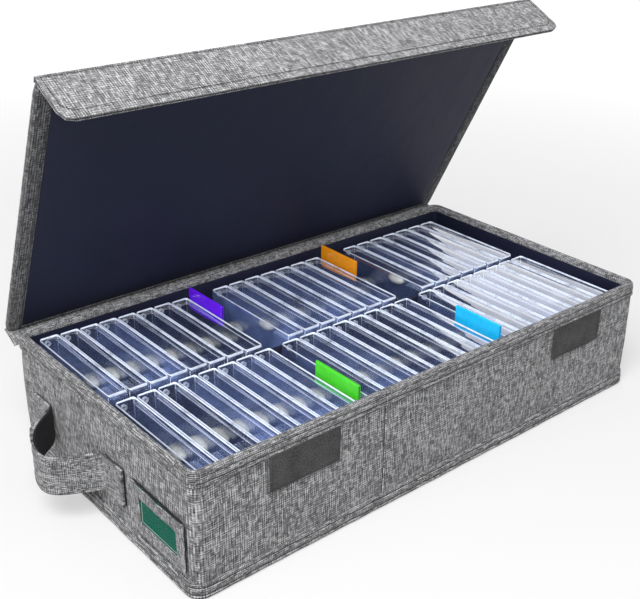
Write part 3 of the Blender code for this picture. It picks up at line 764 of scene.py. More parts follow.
def rimBinding():
    z0, z1, w, t = rimLo[2], rimHi[2], tray["wall"], 0.0011
    outer = [(0.0003, z0), (0.0011, z0 + 0.0006), (0.0011, z0 + 0.0018), (0.0004, z0 + 0.0025)]
    outer += [(-0.0003, z0 + 0.0029), (0.0003, z0 + 0.0034), (0.0008, z0 + 0.0044), (0.0008, z0 + 0.0066)]
    outer += [(0.0003, z0 + 0.0072), (-0.0005, z0 + 0.0076), (0.0002, z0 + 0.0080), (0.0006, z0 + 0.0088)]
    outer += [(0.0004, z1 - 0.0012), (-0.0005, z1 - 0.0002)]
    top = [(-0.0016, z1), (-0.0022, z1 - 0.0004), (-0.0026, z1 - 0.0009), (-0.0030, z1 - 0.0004)]
    top += [(-0.0036, z1), (-0.0046, z1 - 0.0003)]
    low = z0 + tray["foldShort"]
    inner = [(-w - 0.0002, z1 - 0.0011), (-w - 0.0006, z1 - 0.0026), (-w - 0.0001, z1 - 0.0036)]
    inner += [(-w - 0.0006, z1 - 0.0044), (-w - 0.0005, low + 0.0006), (-w - 0.0001, low)]
    back = [(-w + t, low), (-w + t, z1 - 0.0015), (-t, z1 - 0.0015), (-t, z0)]
    return sweepRing("rim_binding_cloth", outerPath, outer + top + inner + back, rimPush, turned=True)


def weltPush(p, out, z, s):
    if out < 0.0006:
        return 0.0
    return 0.0003 * smoothNoise(p, 0.02, 5.2) + 0.00012 * math.sin(s / 0.004 + 2 * smoothNoise(p, 0.02, 2.2))


def bottomWelt():
    z0, z1 = weltLo[2], weltHi[2]
    outer = [(0.0006, z0), (0.0016, z0 + 0.0004), (0.0023, z0 + 0.0016), (0.0019, z0 + 0.0027)]
    outer += [(0.0010, z0 + 0.0033), (0.0020, z0 + 0.0041), (0.0024, z0 + 0.0060), (0.0020, z0 + 0.0082)]
    outer += [(0.0010, z0 + 0.0089), (0.0018, z0 + 0.0096), (0.0018, z1 - 0.0007), (0.0012, z1), (0.0004, z1)]
    return sweepRing("bottom_welt_cloth", outerPath, outer + [(0.0004, z0)], weltPush, turned=True)


def wallLining():
    t0, t1 = tray["liningFace"], tray["wall"]
    z0, z1 = liningLo[2], rimLo[2] + tray["foldShort"] - 0.0002
    levels = [z1 - (z1 - z0) * i / 6 for i in range(7)]
    profile = [(-t1, z) for z in levels] + [(-t0, z0), (-t0, z1)]

    def push(p, out, z, s):
        return 0.0 if out > -0.0046 else 0.0005 * smoothNoise(p, 0.03, 8.1) - 0.0002

    return sweepRing("wall_lining_cloth", outerPath, profile, push)


finishPiece(wallCover(), "tray", heatherCloth, "cover_wall", slot="heather_fabric")
finishPiece(rimBinding(), "tray", heatherTrim, "rim_binding", slot="heather_fabric")
finishPiece(bottomWelt(), "tray", heatherTrim, "bottom_welt", slot="heather_fabric")
finishPiece(wallLining(), "tray", navyCloth, "lining_wall", slot="navy_lining")

# the padded base lifts the cases a little towards the left end: places along X, lift there
baseRise = {
    "back": ((-0.225, -0.210, -0.100, 0.0, 0.225), (0.0066, 0.0066, 0.0026, 0.0018, 0.0010)),
    "front": ((-0.225, -0.210, -0.100, 0.0, 0.225), (0.0042, 0.0042, 0.0026, 0.0018, 0.0010)),
}


def riseAt(x, y):
    back = float(np.interp(x, *baseRise["back"]))
    front = float(np.interp(x, *baseRise["front"]))
    share = min(max((y + 0.06) / 0.115, 0.0), 1.0)
    return front + (back - front) * share


def floorDome(x, y, side):
    # the plate's own corner is the place's zero
    lo, hi = boxOf("lining_floor")
    near = min(x, y, hi[0] - lo[0] - x, hi[1] - lo[1] - y)
    return (riseAt(x + lo[0], y + lo[1]) - 0.0002) * min(1.0, near / 0.006)


def foamDome(x, y, side):
    return floorDome(x, y, side) - 0.0001 if side else 0.0


def layPlate(name, nodeName, material, edge, cell, radius, dome=None, slot=None):
    lo, hi = boxOf(nodeName)
    piece = plate(name, lo, hi - (0.0, 0.0, 0.00015), edge, cell, (radius,) * 4, dome)
    return finishPiece(piece, "tray", material, nodeName, slot=slot)


layPlate("bottom_cloth", "bottom_cover", heatherCloth, 0.0004, 0.02, 0.0075, slot="heather_fabric")
layPlate("floor_lining_cloth", "lining_floor", navyCloth, 0.0003, 0.009, 0.0037, floorDome, "navy_lining")
foamPad = layPlate("base_padding", "base_foam", softFoam, 0.0012, 0.015, 0.0046, foamDome, "foam")
for boardName in ("front_board", "back_board", "left_board", "right_board", "base_board", "partition_board"):
    shadeAs(nodes[boardName], greyBoard)
print("tray made")


# lid and flap, drawn closed and then turned to the rest angle
def lidPlate(name, lo, hi, edge, cell, radii, dome=None, axes="xyz"):
    return plate(name, lo, hi, edge, cell, radii, dome, lidPoint, axes)


def lidDome(x, y, side):
    return 0.00035 * smoothNoise((x, y, 0.0), 0.05, 6.0) - 0.0002 if side else 0.0


def puckers(x, y, side):
    return 0.0 if side else 0.0005 * smoothNoise((x, y, 0.0), 0.07, 2.5) + 0.0003


def flapDome(x, y, side):
    return 0.0 if side else -0.0004 * smoothNoise((x, y, 1.0), 0.03, 3.0)


def pileDome(x, y, side):
    return 0.0 if side else 0.00022 * smoothNoise((x, y, 0.0), 0.0016, 2.0) - 0.0001


def lidRing(inset, z, hingeInset=None):
    # a loop round the closed lid; the hinge side may have its own inset
    back = inset if hingeInset is None else hingeInset
    lo = (lidLo[0] + inset, lidLo[1] + inset)
    hi = (lidHi[0] - inset, lidHi[1] - back)
    loop = planLoop(lo, hi, max(lid["corner"] - inset, 0.0008), 60, 34, 4)
    return [(x, y, z + 0.0002 * smoothNoise((x, y, z), 0.02, 4.0) * (inset > 0.001)) for x, y in loop]


def lidEdgeWrap():
    # the cover turned down round the board's edge and under it, as a binding on the three free sides
    width, back = lid["binding"], 0.0030
    z0, top = lidLo[2], lidHi[2] - lid["cover"] - 0.0001
    places = [(0.0001, top), (0.0, z0 + 0.0018), (0.0004, z0 + 0.0006), (0.0014, z0)]
    places += [(width * 0.55, z0 - 0.0001, back * 0.6), (width - 0.0016, z0 - 0.0001, back * 0.8)]
    places += [(width, z0 + 0.0002, back), (width, z0 + 0.0008, back), (0.0016, z0 + 0.0009), (0.0013, top)]
    return loopPiece("lid_binding_cloth", [lidRing(*place) for place in places], lidPoint)


boardZ = lidLo[2] + lid["lining"] + lid["gap"]
coverLow = (lidLo[0], lidLo[1], boardZ + lid["board"] + lid["gap"])
lidCover = lidPlate("lid_cloth", coverLow, lidHi, 0.0006, lid["cell"], (lid["corner"],) * 4, lidDome)
lidBoard = lidPlate(
    "lid_stiffener",
    (lidLo[0] + 0.0015, lidLo[1] + 0.0015, boardZ),
    (lidHi[0] - 0.0015, lidHi[1] - 0.0015, boardZ + lid["board"]),
    0.0003,
    0.03,
    (0.0025,) * 4,
)
inset = lid["binding"] + 0.0003
lidLining = lidPlate(
    "lid_lining_cloth",
    (lidLo[0] + inset, lidLo[1] + inset, lidLo[2] + 0.0001),
    (lidHi[0] - inset, lidHi[1] - 0.0033, lidLo[2] + 0.0009),
    0.0003,
    0.009,
    (0.001,) * 4,
    puckers,
)
# the lid's cover in the lighter copy of the cloth: painted light
finishPiece(lidCover, "lid", heatherPaintedLight, "lid_cover", slot="heather_fabric")
# the lid's binding in the darker copy of the cloth: painted shade
finishPiece(lidEdgeWrap(), "lid", heatherPaintedShade, slot="heather_fabric")
finishPiece(lidBoard, "lid", greyBoard, "lid_board", slot="grey_board")
finishPiece(lidLining, "lid", navyCloth, "lid_lining", slot="navy_lining")
stripLo, stripHi = closedBox("lid_hinge_strip")
hingeStrip = lidPlate("hinge_cloth", stripLo, stripHi, 0.0004, 0.006, (0, 0, 0, 0), axes="xzy")
finishPiece(hingeStrip, "lid", heatherTrim, "lid_hinge_strip", slot="heather_fabric")

# the cover's fold along the flap: a strip from the lid's edge to a rounded crease on the flap's hinge
fold = {"crease": 0.0008, "cloth": 0.0007, "turns": 12, "steps": 60}


def foldRing(x, size):
    y0, top = flapLo[1], lidHi[2]
    reach = lidLo[1] - y0
    r, t = fold["crease"] * size, fold["cloth"]
    ring = [(x, y0 + reach, top), (x, y0 + reach * 0.5, top + 0.0001 * size)]
    for i in range(fold["turns"] + 1):
        turn = math.radians(25 + 275 * i / fold["turns"])
        ring.append((x, y0 + r * math.cos(turn), top + r * math.sin(turn)))
    return ring + [(x, y0 + reach * 0.4, top - t), (x, y0 + reach, top - t)]


def foldStrip():
    x0, x1, n = flapLo[0], flapHi[0], fold["steps"]
    rings = [foldRing(x0, 0.6)]
    rings += [foldRing(x0 + 0.0006 + (x1 - x0 - 0.0012) * i / n, 1.0) for i in range(n + 1)]
    return loopPiece("lid_fold_cloth", rings + [foldRing(x1, 0.6)], lidPoint, capped=True)


# the fold in the lighter copy of the cloth: painted light
foldPiece = finishPiece(foldStrip(), "lid", heatherPaintedLight, slot="heather_fabric")

flapRound = 0.009
flapTop = flapHi[2] - fold["crease"] - 0.0001
faceY = flapLo[1]


def flapPlate(name, inset, front, back, top, edge, cell, dome=None, corner=flapRound):
    # one upright layer of the flap, rounded at its two free corners
    lo, hi = (flapLo[0] + inset, front, flapLo[2] + inset), (flapHi[0] - inset, back, top)
    return lidPlate(name, lo, hi, edge, cell, (corner, corner, 0, 0), dome, "xzy")


flapCover = flapPlate("flap_cloth", 0.0, faceY, faceY + lid["cover"], flapTop, 0.0005, 0.006, flapDome)
boardAt = (0.0015, faceY + 0.0015, faceY + 0.0021, flapHi[2] - 0.0015)
flapBoard = flapPlate("flap_stiffener", *boardAt, 0.0002, 0.03, corner=flapRound - 0.0015)
backingAt = (0.0002, faceY + 0.0024, flapHi[1], flapTop - 0.0001)
flapBacking = flapPlate("flap_backing_cloth", *backingAt, 0.0003, 0.009)
# the flap's face in the lighter copy of the cloth: painted light
finishPiece(flapCover, "flap", heatherPaintedLight, "flap_cover", slot="heather_fabric")
finishPiece(flapBoard, "flap", greyBoard, "flap_board", slot="grey_board")
finishPiece(flapBacking, "flap", heatherTrim, "flap_lining", slot="navy_lining")
for side in ("left", "right"):
    lo, hi = closedBox("hook_patch_" + side)
    hook = lidPlate("hook_tape_" + side, lo, hi, 0.0003, 0.004, (0.0015,) * 4, axes="xzy")
    finishPiece(hook, "flap", hookPile, "hook_patch_" + side, slot="hook_tape")
    lo, hi = boxOf("loop_patch_" + side)
    pile = plate("loop_tape_" + side, lo, hi, 0.0004, 0.0016, (0.0015,) * 4, pileDome, axes="xzy")
    finishPiece(pile, "tray", loopPile, "loop_patch_" + side, slot="loop_tape")
print("lid and flap made")

# handles
handle = {
    "loopLength": 0.082,
    "frontY": -0.038,
    "bulge": 0.0345,
    "loopShares": (  # along the loop, out from the wall
        *((0.0, 0.0), (0.05, 0.08), (0.11, 0.34), (0.17, 0.66), (0.24, 0.90), (0.33, 1.0)),
        *((0.45, 0.98), (0.58, 0.88), (0.71, 0.69), (0.81, 0.46), (0.91, 0.16), (1.0, 0.0)),
    ),
    "steps": 6,
    "webFaces": (0.0003, 0.0013),  # out from the wall
    "clothFaces": (0.0016, 0.0033),
    "webNarrower": 0.0009,
    "rows": 13,
}


def catmull(points, steps):
    padded = [points[0]] + list(points) + [points[-1]]
    path = []
    for a, b, c, d in zip(padded, padded[1:], padded[2:], padded[3:]):
        for i in range(steps):
            t = i / steps
            w = ((-t + 2 * t**2 - t**3) / 2, (2 - 5 * t**2 + 3 * t**3) / 2)
            w += ((t + 4 * t**2 - 3 * t**3) / 2, (-(t**2) + t**3) / 2)
            path.append(tuple(sum(k * p[j] for k, p in zip(w, (a, b, c, d))) for j in range(2)))
    path.append(points[-1])
    return path


def handlePath():
    start, end = handle["frontY"], tray["sewnEnd"]
    front = start + end
    loop = [(b * handle["bulge"], front + a * handle["loopLength"]) for a, b in handle["loopShares"]]
    tail = front + handle["loopLength"]
    path = [(0.0, start + end * i / 5) for i in range(5)] + catmull(loop, handle["steps"])
    return path + [(0.0, tail + end * (i + 1) / 5) for i in range(5)]


def strapPiece(name, nodeName, side, faces, ripple, narrower=0.0):
    # an upright strap along the plan path, with ripples that run lengthwise
    lo, hi = boxOf(nodeName)
    path, rows = handlePath(), handle["rows"]
    near, far = faces
    z0, z1 = lo[2] + narrower, hi[2] - narrower
    profile = [(far, z0 + (z1 - z0) * i / (rows - 1), True) for i in range(rows)]
    profile += [(near, z1 - (z1 - z0) * i / 4, False) for i in range(5)]
    points, uvs, quads = [], [], []
    run = 0.0
    for i, (out, along) in enumerate(path):
        before, after = path[max(i - 1, 0)], path[min(i + 1, len(path) - 1)]
        ro, ra = after[0] - before[0], after[1] - before[1]
        length = math.hypot(ro, ra)
        if i:
            run += math.hypot(out - path[i - 1][0], along - path[i - 1][1])
        for d, z, outward in profile:
            high = (z - z0) / (z1 - z0)
            wave = 0.0
            if outward:
                wave = ripple * math.sin(high * 19 + 2.2 * smoothNoise((run, high, 0), 0.02, 1.0))
                wave += ripple * 1.2 * smoothNoise((run, z, 0.0), 0.012, 2.0) - ripple
                wave *= min(1.0, 6 * high, 6 * (1 - high))
            dd = d + wave
            points.append((side * (halfX + out + dd * ra / length), along - dd * ro / length, z))
            uvs.append((z, run))
    n = len(profile)
    for i in range(len(path) - 1):
        for k in range(n):
            m = (k + 1) % n
            quads.append((i * n + k, (i + 1) * n + k, (i + 1) * n + m, i * n + m))
    last = (len(path) - 1) * n
    ends = [tuple(range(n))[::-1], tuple(last + k for k in range(n))]
    return makePiece(name, points, quads + ends, uvs)


for sideName, side in (("left", -1), ("right", 1)):
    whole = f"handle_{sideName}"
    webNode, bandNode = whole + "_webbing", whole + "_strap"
    web = strapPiece(whole + "_web", webNode, side, handle["webFaces"], 0.00003, handle["webNarrower"])
    finishPiece(web, "tray", webbing, webNode, slot="dark_webbing")
    band = strapPiece(whole + "_cloth", bandNode, side, handle["clothFaces"], 0.0003)
    finishPiece(band, "tray", heatherTrim, bandNode, slot="heather_fabric")
print("handles made")


# label pocket and card
pocket = {"seam": 0.0030, "bow": 0.0016, "cardBelow": 0.0026, "frameIn": 0.0011, "frameLine": 0.00028}
pocketLo, pocketHi = boxOf("label_pocket")
windowLo, windowHi = boxOf("label_window")


def cardMaterial():
    # green card with a pale line just inside the window
    material, tree, shader = newMaterial("greenCard")
    place = ownCoords(tree)
    split = node(tree, "ShaderNodeSeparateXYZ", {0: place})
    fromMid = []
    for axis, a, b in (("Y", windowLo[1], windowHi[1]), ("Z", windowLo[2], windowHi[2])):
        apart = mathNode(tree, "ABSOLUTE", minus(tree, split.outputs[axis], float((a + b) / 2)))
        fromMid.append(minus(tree, apart, float((b - a) / 2 - pocket["frameIn"])))
    edge = mathNode(tree, "ABSOLUTE", mathNode(tree, "MAXIMUM", *fromMid))
    line = mathNode(tree, "LESS_THAN", edge, pocket["frameLine"])
    grain = noiseAt(tree, place, detail=4.0, scale=700.0)
    green = ramp(tree, grain, [(0.3, (0.003, 0.098, 0.062)), (0.7, (0.006, 0.132, 0.088))])
    # a colour mix node takes its share at input 0 and its colours at 6 and 7
    mixed = node(tree, "ShaderNodeMix", {0: line, 6: green, 7: (0.45, 0.56, 0.48, 1.0)}, data_type="RGBA")
    feed(tree, shader, {"Base Color": mixed.outputs[2], "Roughness": 0.75, "Specular IOR Level": 0.0})
    bump(tree, shader, grain, 0.1, 0.0002)
    return material


def pocketRing(inset, out, hole=0.0, backed=False):
    # inset from the pocket's outline, or from the window's when hole is 1; out is measured from the front
    lo = [pocketLo[k] + (windowLo[k] - 0.0003 - pocketLo[k]) * hole for k in (1, 2)]
    hi = [pocketHi[k] + (windowHi[k] + 0.0003 - pocketHi[k]) * hole for k in (1, 2)]
    loop = planLoop([v + inset for v in lo], [v - inset for v in hi], 0.0012, 22, 14, 3)
    ring = []
    for y, z in loop:
        high = (z - pocketLo[2]) / (pocketHi[2] - pocketLo[2])
        across = (y - pocketLo[1]) / (pocketHi[1] - pocketLo[1])
        bow = pocket["bow"] * high**3 * math.sin(math.pi * min(max(across, 0.0), 1.0)) ** 0.5
        bow += 0.0003 * high * math.sin(across * 17.0)
        x = pocketLo[0] + out - bow + 0.0003
        if backed:  # the lower side and the side towards the back reach back to the wall; the front edge and the top edge stay open
            shut = high < 0.93 and across > 0.05
            x = pocketHi[0] if shut else pocketLo[0] + 0.0013 - bow
        ring.append((x, y, z))
    return ring


def pocketCloth():
    seam = pocket["seam"]
    rings = [pocketRing(0.0002, 0.0, backed=True), pocketRing(0.0, 0.0006), pocketRing(0.0004, 0.0001)]
    rings += [pocketRing(seam - 0.0005, 0.0), pocketRing(seam, 0.00035), pocketRing(seam + 0.0006, 0.0001)]
    rings += [pocketRing(-0.0022, 0.0, 1.0), pocketRing(-0.0005, 0.0001, 1.0), pocketRing(0.0, 0.0005, 1.0)]
    rings += [pocketRing(0.0, 0.0010, 1.0), pocketRing(seam, 0.0011)]
    return loopPiece("label_pocket_cloth", rings)


finishPiece(pocketCloth(), "tray", heatherTrim, "label_pocket", slot="heather_fabric")
cardLo, cardHi = boxOf("label_card")
cardHi[2] = min(cardHi[2], pocketHi[2] - pocket["cardBelow"])
card = plate("label_card_sheet", cardLo, cardHi, 0.0001, 0.004, (0.0015,) * 4, axes="yzx")
finishPiece(card, "label", cardMaterial(), "label_card", slot="green_card")
windowPiece = plate("label_window_film", windowLo, windowHi, 0.00005, 0.004, (0.001,) * 4, axes="yzx")
finishPiece(windowPiece, "tray", windowFilm, "label_window", slot="clear_film")

# partition and dividers
tabShape = {"round": 0.0011, "wall": 0.0003, "turns": 7, "pinch": 0.0003}


def foldedTab(name):
    # one strip folded over the divider's tongue, its fold rounded
    lo, hi = boxOf(name + "_tab")
    sheetLo, sheetHi = boxOf(name + "_sheet")
    midX = (lo[0] + hi[0]) / 2
    outer, inner = (hi[0] - lo[0]) / 2, (sheetHi[0] - sheetLo[0]) / 2 + tabShape["wall"]
    r, most = tabShape["round"], tabShape["pinch"]

    def profile(pinch):
        line = [(-(outer - pinch), lo[2] + pinch)]
        for side, start in ((-1, math.pi), (1, math.pi / 2)):
            for i in range(tabShape["turns"]):
                t = start - math.pi / 2 * i / (tabShape["turns"] - 1)
                x = side * (outer - r) + (r - pinch) * math.cos(t)
                line.append((x, hi[2] - r + (r - pinch) * math.sin(t)))
        line += [(outer - pinch, lo[2] + pinch), (inner, lo[2] + pinch)]
        return line + [(inner, sheetHi[2] + 0.0002), (-inner, sheetHi[2] + 0.0002), (-inner, lo[2] + pinch)]

    rings = []
    for y, pinch in ((lo[1], most), (lo[1] + most, 0.0), (hi[1] - most, 0.0), (hi[1], most)):
        rings.append([(midX + x, y, z) for x, z in profile(pinch)])
    tab = builtPiece(name + "_fold", lambda work: joinRings(work, rings, True))
    smoothFaces(tab.data)
    return tab


partitionCloth = fromNode("partition_cloth", "partition_cover", 0.0002)
finishPiece(partitionCloth, "partition", darkCloth, "partition_cover", slot="navy_lining")
for name, finish in tabFinish.items():
    # each divider sheet darkly hazed: painted shade of its gap
    finishPiece(fromNode(name + "_film", name + "_sheet", 0.00015), name, dividerFilmPaintedShade, name + "_sheet")
    finishPiece(foldedTab(name), name, finish, name + "_tab")
print("pocket, partition and dividers made")

# cassette cases
case = {
    "length": 0.109,
    "height": 0.070,
    "thickness": 0.017,
    "corner": 0.0028,
    "edge": 0.00056,  # width of the painted highlight line along each wall's top
    "edgeInset": 0.0007,
    "leafAt": 0.0118,  # where the inner half's back plate stands across the case
    "leaf": 0.0009,
    "ledgeDepth": 0.0028,
    "ringAt": (0.0058, 0.1046, 0.0662),
    "ringSize": 0.0024,
    "lugAt": ((0.0420, 0.0605), (0.0860, 0.0400)),  # place along the case, height
    "lugSize": (0.0052, 0.0098, 0.0046),
    "seed": 11,
    "shift": 0.00035,
    "toneSpread": 0.75,
}
caseT, caseL, caseH, leafX = case["thickness"], case["length"], case["height"], case["leafAt"]


def caseLoop(inset, z):
    far = (caseT - inset, caseL - inset)
    return [(x, y, z) for x, y in planLoop((inset, inset), far, max(case["corner"] - inset, 0.0004))]


def roundTurns(sides):
    return [2 * math.pi * i / sides for i in range(sides)]


def addBar(work, start, end, radius, sides=6):
    # a rounded bar with pinched ends
    a, b = Vector(start), Vector(end)
    run = (b - a).normalized()
    side = run.cross(Vector((0, 0, 1))).normalized()
    rise = side.cross(run)
    rings = []
    for t, size in ((0.0, 0.55), (0.012, 1.0), (0.988, 1.0), (1.0, 0.55)):
        centre = a + (b - a) * t
        spokes = [side * math.cos(turn) + rise * math.sin(turn) for turn in roundTurns(sides)]
        rings.append([centre + spoke * radius * size for spoke in spokes])
    joinRings(work, rings, True)


def addPlate(work, lo, hi):
    size = [b - a for a, b in zip(lo, hi)]
    middle = [(a + b) / 2 for a, b in zip(lo, hi)]
    bmesh.ops.create_cube(work, size=1.0, matrix=Matrix.Translation(middle) @ Matrix.Diagonal((*size, 1.0)))


def addRing(work, centre, outer, inner, depth, sides=14):
    # a hollow boss along Y
    cx, cy, cz = centre
    rings = []
    for r, y in ((outer, -depth / 2), (outer, depth / 2), (inner, depth / 2), (inner, -depth / 2)):
        rings.append([(cx + r * math.cos(t), cy + y, cz + r * math.sin(t)) for t in roundTurns(sides)])
    joinRings(work, rings)


def caseSkin(work):
    # the closed case's outside, softened along every edge
    rings = [caseLoop(0.0007, 0.0002), caseLoop(0.0001, 0.0009), caseLoop(0.0001, caseH - 0.0014)]
    rings += [caseLoop(0.0005, caseH - 0.0008), caseLoop(0.0012, caseH - 0.0006)]
    joinRings(work, rings, True)


def caseLeaves(work):
    addPlate(work, (leafX, 0.005, 0.004), (leafX + case["leaf"], caseL - 0.005, caseH - 0.0026))
    addPlate(work, (0.0016, 0.0040, caseH - 0.0070), (leafX - 0.0006, 0.0230, caseH - 0.0062))


def caseLedges(work):
    # the inner half's rim: a pale shelf between its back plate and the case's wall
    z = caseH - case["ledgeDepth"]
    addPlate(work, (leafX + 0.0013, 0.004, z - 0.0008), (caseT - 0.0013, caseL - 0.0040, z))


def caseEdgeHighlights(work):
    # the wall's thickness drawn as pale lines round the top and along the inner half; their near-white is
    # painted highlight
    t, l, h, x, e = caseT, caseL, caseH, leafX, case["edge"]
    # the line stands inside the wall, so that two neighbours show as a pair
    rings = [(0.0, h - 0.0012), (0.0, h - 0.0004), (0.0002, h), (e - 0.0001, h - 0.0001)]
    rings += [(e, h - 0.0005), (e, h - 0.0012)]
    joinRings(work, [caseLoop(case["edgeInset"] + inset, z) for inset, z in rings])
    addBar(work, (x + 0.0004, 0.0045, h - 0.0016), (x + 0.0004, l - 0.0100, h - 0.0016), 0.00036)
    addBar(work, (x + 0.0020, 0.0300, h - 0.0030), (t - 0.0012, l - 0.0050, h - 0.0022), 0.00030)
    addBar(work, (0.0020, 0.0017, h - 0.0016), (t - 0.0020, 0.0017, h - 0.0016), 0.0013)
    addBar(work, (t - 0.0014, l - 0.0014, h - 0.0010), (t - 0.0014, l - 0.0018, h - 0.0170), 0.0005, 5)
    addBar(work, (0.0009, 0.0014, h - 0.0020), (0.0011, 0.0018, h - 0.0120), 0.0003, 5)
    addRing(work, case["ringAt"], case["ringSize"], case["ringSize"] * 0.5, 0.0018)


def caseLugs(work):
    for y, z in case["lugAt"]:
        place = Matrix.Translation((leafX - 0.0026, y, z)) @ Matrix.Diagonal((*case["lugSize"], 1.0))
        bmesh.ops.create_uvsphere(work, u_segments=12, v_segments=8, radius=1.0, matrix=place)


def newTree(name, wanted):
    # a geometry tree with named inputs, each input's identifier, its entry and its way out
    tree = bpy.data.node_groups.new(name, "GeometryNodeTree")
    socket = tree.interface.new_socket
    ids = {}
    for label, kind in {"Geometry": "Geometry", **wanted}.items():
        ids[label] = socket(label, in_out="INPUT", socket_type="NodeSocket" + kind).identifier
    socket("Geometry", in_out="OUTPUT", socket_type="NodeSocketGeometry")
    return tree, ids, tree.nodes.new("NodeGroupInput").outputs, tree.nodes.new("NodeGroupOutput")


def spreadEvenly(tree, entry, label, seed):
    # a random number between minus and plus the named input
    ends = {2: times(tree, entry[label], -1.0), 3: entry[label]}
    ends["Seed"] = plus(tree, entry["Seed"], float(seed))
    return node(tree, "FunctionNodeRandomValue", ends, data_type="FLOAT").outputs[1]


def laidAndPainted(tree, points, instance, material, more=()):
    # a thing at every point, made real and given its finish
    lay = node(tree, "GeometryNodeInstanceOnPoints", {"Points": points, "Instance": instance, **dict(more)})
    real = node(tree, "GeometryNodeRealizeInstances", {0: lay.outputs[0]})
    painted = node(tree, "GeometryNodeSetMaterial", {"Geometry": real.outputs[0], "Material": material})
    return painted.outputs[0]


def rowTree(templates):
    # repeats one case's parts along X; each case stands a hair nearer or further and has its own tone
    wanted = {"Count": "Int", "Pitch": "Float", "Start": "Vector", "Rise Left": "Float"}
    wanted |= {"Rise Right": "Float", "Shift": "Float", "Tone Spread": "Float", "Seed": "Int"}
    tree, ids, entry, leave = newTree("caseRow", wanted)
    step = node(tree, "ShaderNodeCombineXYZ", {"X": entry["Pitch"]})
    lineInputs = {"Count": entry["Count"], "Start Location": entry["Start"], "Offset": step.outputs[0]}
    line = node(tree, "GeometryNodeMeshLine", lineInputs, mode="OFFSET")
    order = node(tree, "GeometryNodeInputIndex").outputs[0]
    span = {"Value": order, "From Max": minus(tree, entry["Count"], 1.0)}
    span |= {"To Min": entry["Rise Left"], "To Max": entry["Rise Right"]}
    lift = node(tree, "ShaderNodeMapRange", span)
    shift = spreadEvenly(tree, entry, "Shift", 5)
    moved = node(tree, "ShaderNodeCombineXYZ", {"Y": shift, "Z": lift.outputs[0]})
    placed = node(tree, "GeometryNodeSetPosition", {"Geometry": line.outputs[0], "Offset": moved.outputs[0]})
    kept = {"Geometry": placed.outputs[0], "Name": "caseTone"}
    kept["Value"] = spreadEvenly(tree, entry, "Tone Spread", 2)
    tone = node(tree, "GeometryNodeStoreNamedAttribute", data_type="FLOAT", domain="POINT")
    feed(tree, tone, kept)
    joined = node(tree, "GeometryNodeJoinGeometry")
    for template, material in templates:
        shape = node(tree, "GeometryNodeObjectInfo", {"Object": template}).outputs["Geometry"]
        feed(tree, joined, {0: laidAndPainted(tree, tone.outputs[0], shape, material)})
    feed(tree, leave, {0: joined.outputs[0]})
    return tree, ids


def runTree(name, mesh, tree, ids, values):
    # evaluates the tree on a mesh and keeps the plain result
    carrier = newPiece(name + "_path", mesh)
    modifier = carrier.modifiers.new("build", "NODES")
    modifier.node_group = tree
    for label, value in values.items():
        modifier[ids[label]] = value
    bpy.context.view_layer.update()
    seen = carrier.evaluated_get(bpy.context.evaluated_depsgraph_get())
    made = bpy.data.meshes.new_from_object(seen)
    made.name = name
    carrier.modifiers.remove(modifier)
    bpy.data.objects.remove(carrier, do_unlink=True)
    return newPiece(name, made)


templates = []
for name, build, sharpAt, material in (
    ("case_skin_one", caseSkin, 50, clearWall),
    ("case_leaf_one", caseLeaves, 30, clearLeaf),
    ("case_ledge_one", caseLedges, 30, clearLedge),
    ("case_edge_one", caseEdgeHighlights, 70, clearEdgeHighlight),
    ("case_lug_one", caseLugs, 80, frostLug),
):
    template = builtPiece(name, build)
    smoothFaces(template.data, sharpAt)
    templates.append((template, material))
caseRow, rowIds = rowTree(templates)
caseCounts = {"back_left": 8, "back_middle": 7, "back_right": 7}
caseCounts |= {"front_left": 8, "front_middle": 8, "front_right": 8}
for order, (where, count) in enumerate(caseCounts.items()):
    groupName = "cases_" + where
    lo, hi = boxOf(groupName)
    values = {
        "Count": count,
        "Pitch": (hi[0] - lo[0] - caseT) / (count - 1),
        "Start": (lo[0], lo[1], lo[2]),
        "Rise Left": riseAt(lo[0] + 0.008, lo[1] + 0.054),
        "Rise Right": riseAt(hi[0] - 0.008, lo[1] + 0.054),
        "Shift": case["shift"],
        "Tone Spread": case["toneSpread"],
        "Seed": case["seed"] + order,
    }
    group = runTree(groupName + "_clear", bpy.data.meshes.new(groupName), caseRow, rowIds, values)
    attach(group, groupName)
    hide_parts(groupName)
for template, material in templates:
    bpy.data.objects.remove(template, do_unlink=True)
print("cases made")

# stitches, their thread darkened as painted shade, and dark cords of painted shade
stitch = {"length": 0.0024, "thread": 0.00030, "pitch": 0.0030}


def stitchTree():
    # short rods laid end to end along a line
    tree, ids, entry, leave = newTree("stitchRow", {"Pitch": "Float", "Length": "Float", "Thread": "Float"})
    curve = node(tree, "GeometryNodeMeshToCurve", {0: entry["Geometry"]})
    points = node(tree, "GeometryNodeCurveToPoints", mode="LENGTH")
    feed(tree, points, {0: curve.outputs[0], "Length": entry["Pitch"]})
    size = {"Vertices": 6, "Radius": entry["Thread"], "Depth": entry["Length"]}
    rod = node(tree, "GeometryNodeMeshCylinder", size).outputs[0]
    aim = node(tree, "FunctionNodeAlignRotationToVector", {"Vector": points.outputs["Tangent"]}, axis="Z")
    turn = {"Rotation": aim.outputs[0]}
    # the rods take the dark thread, which carries painted shade
    feed(tree, leave, {0: laidAndPainted(tree, points.outputs["Points"], rod, threadWithGrooveShade, turn)})
    return tree, ids


stitchRow, stitchIds = stitchTree()


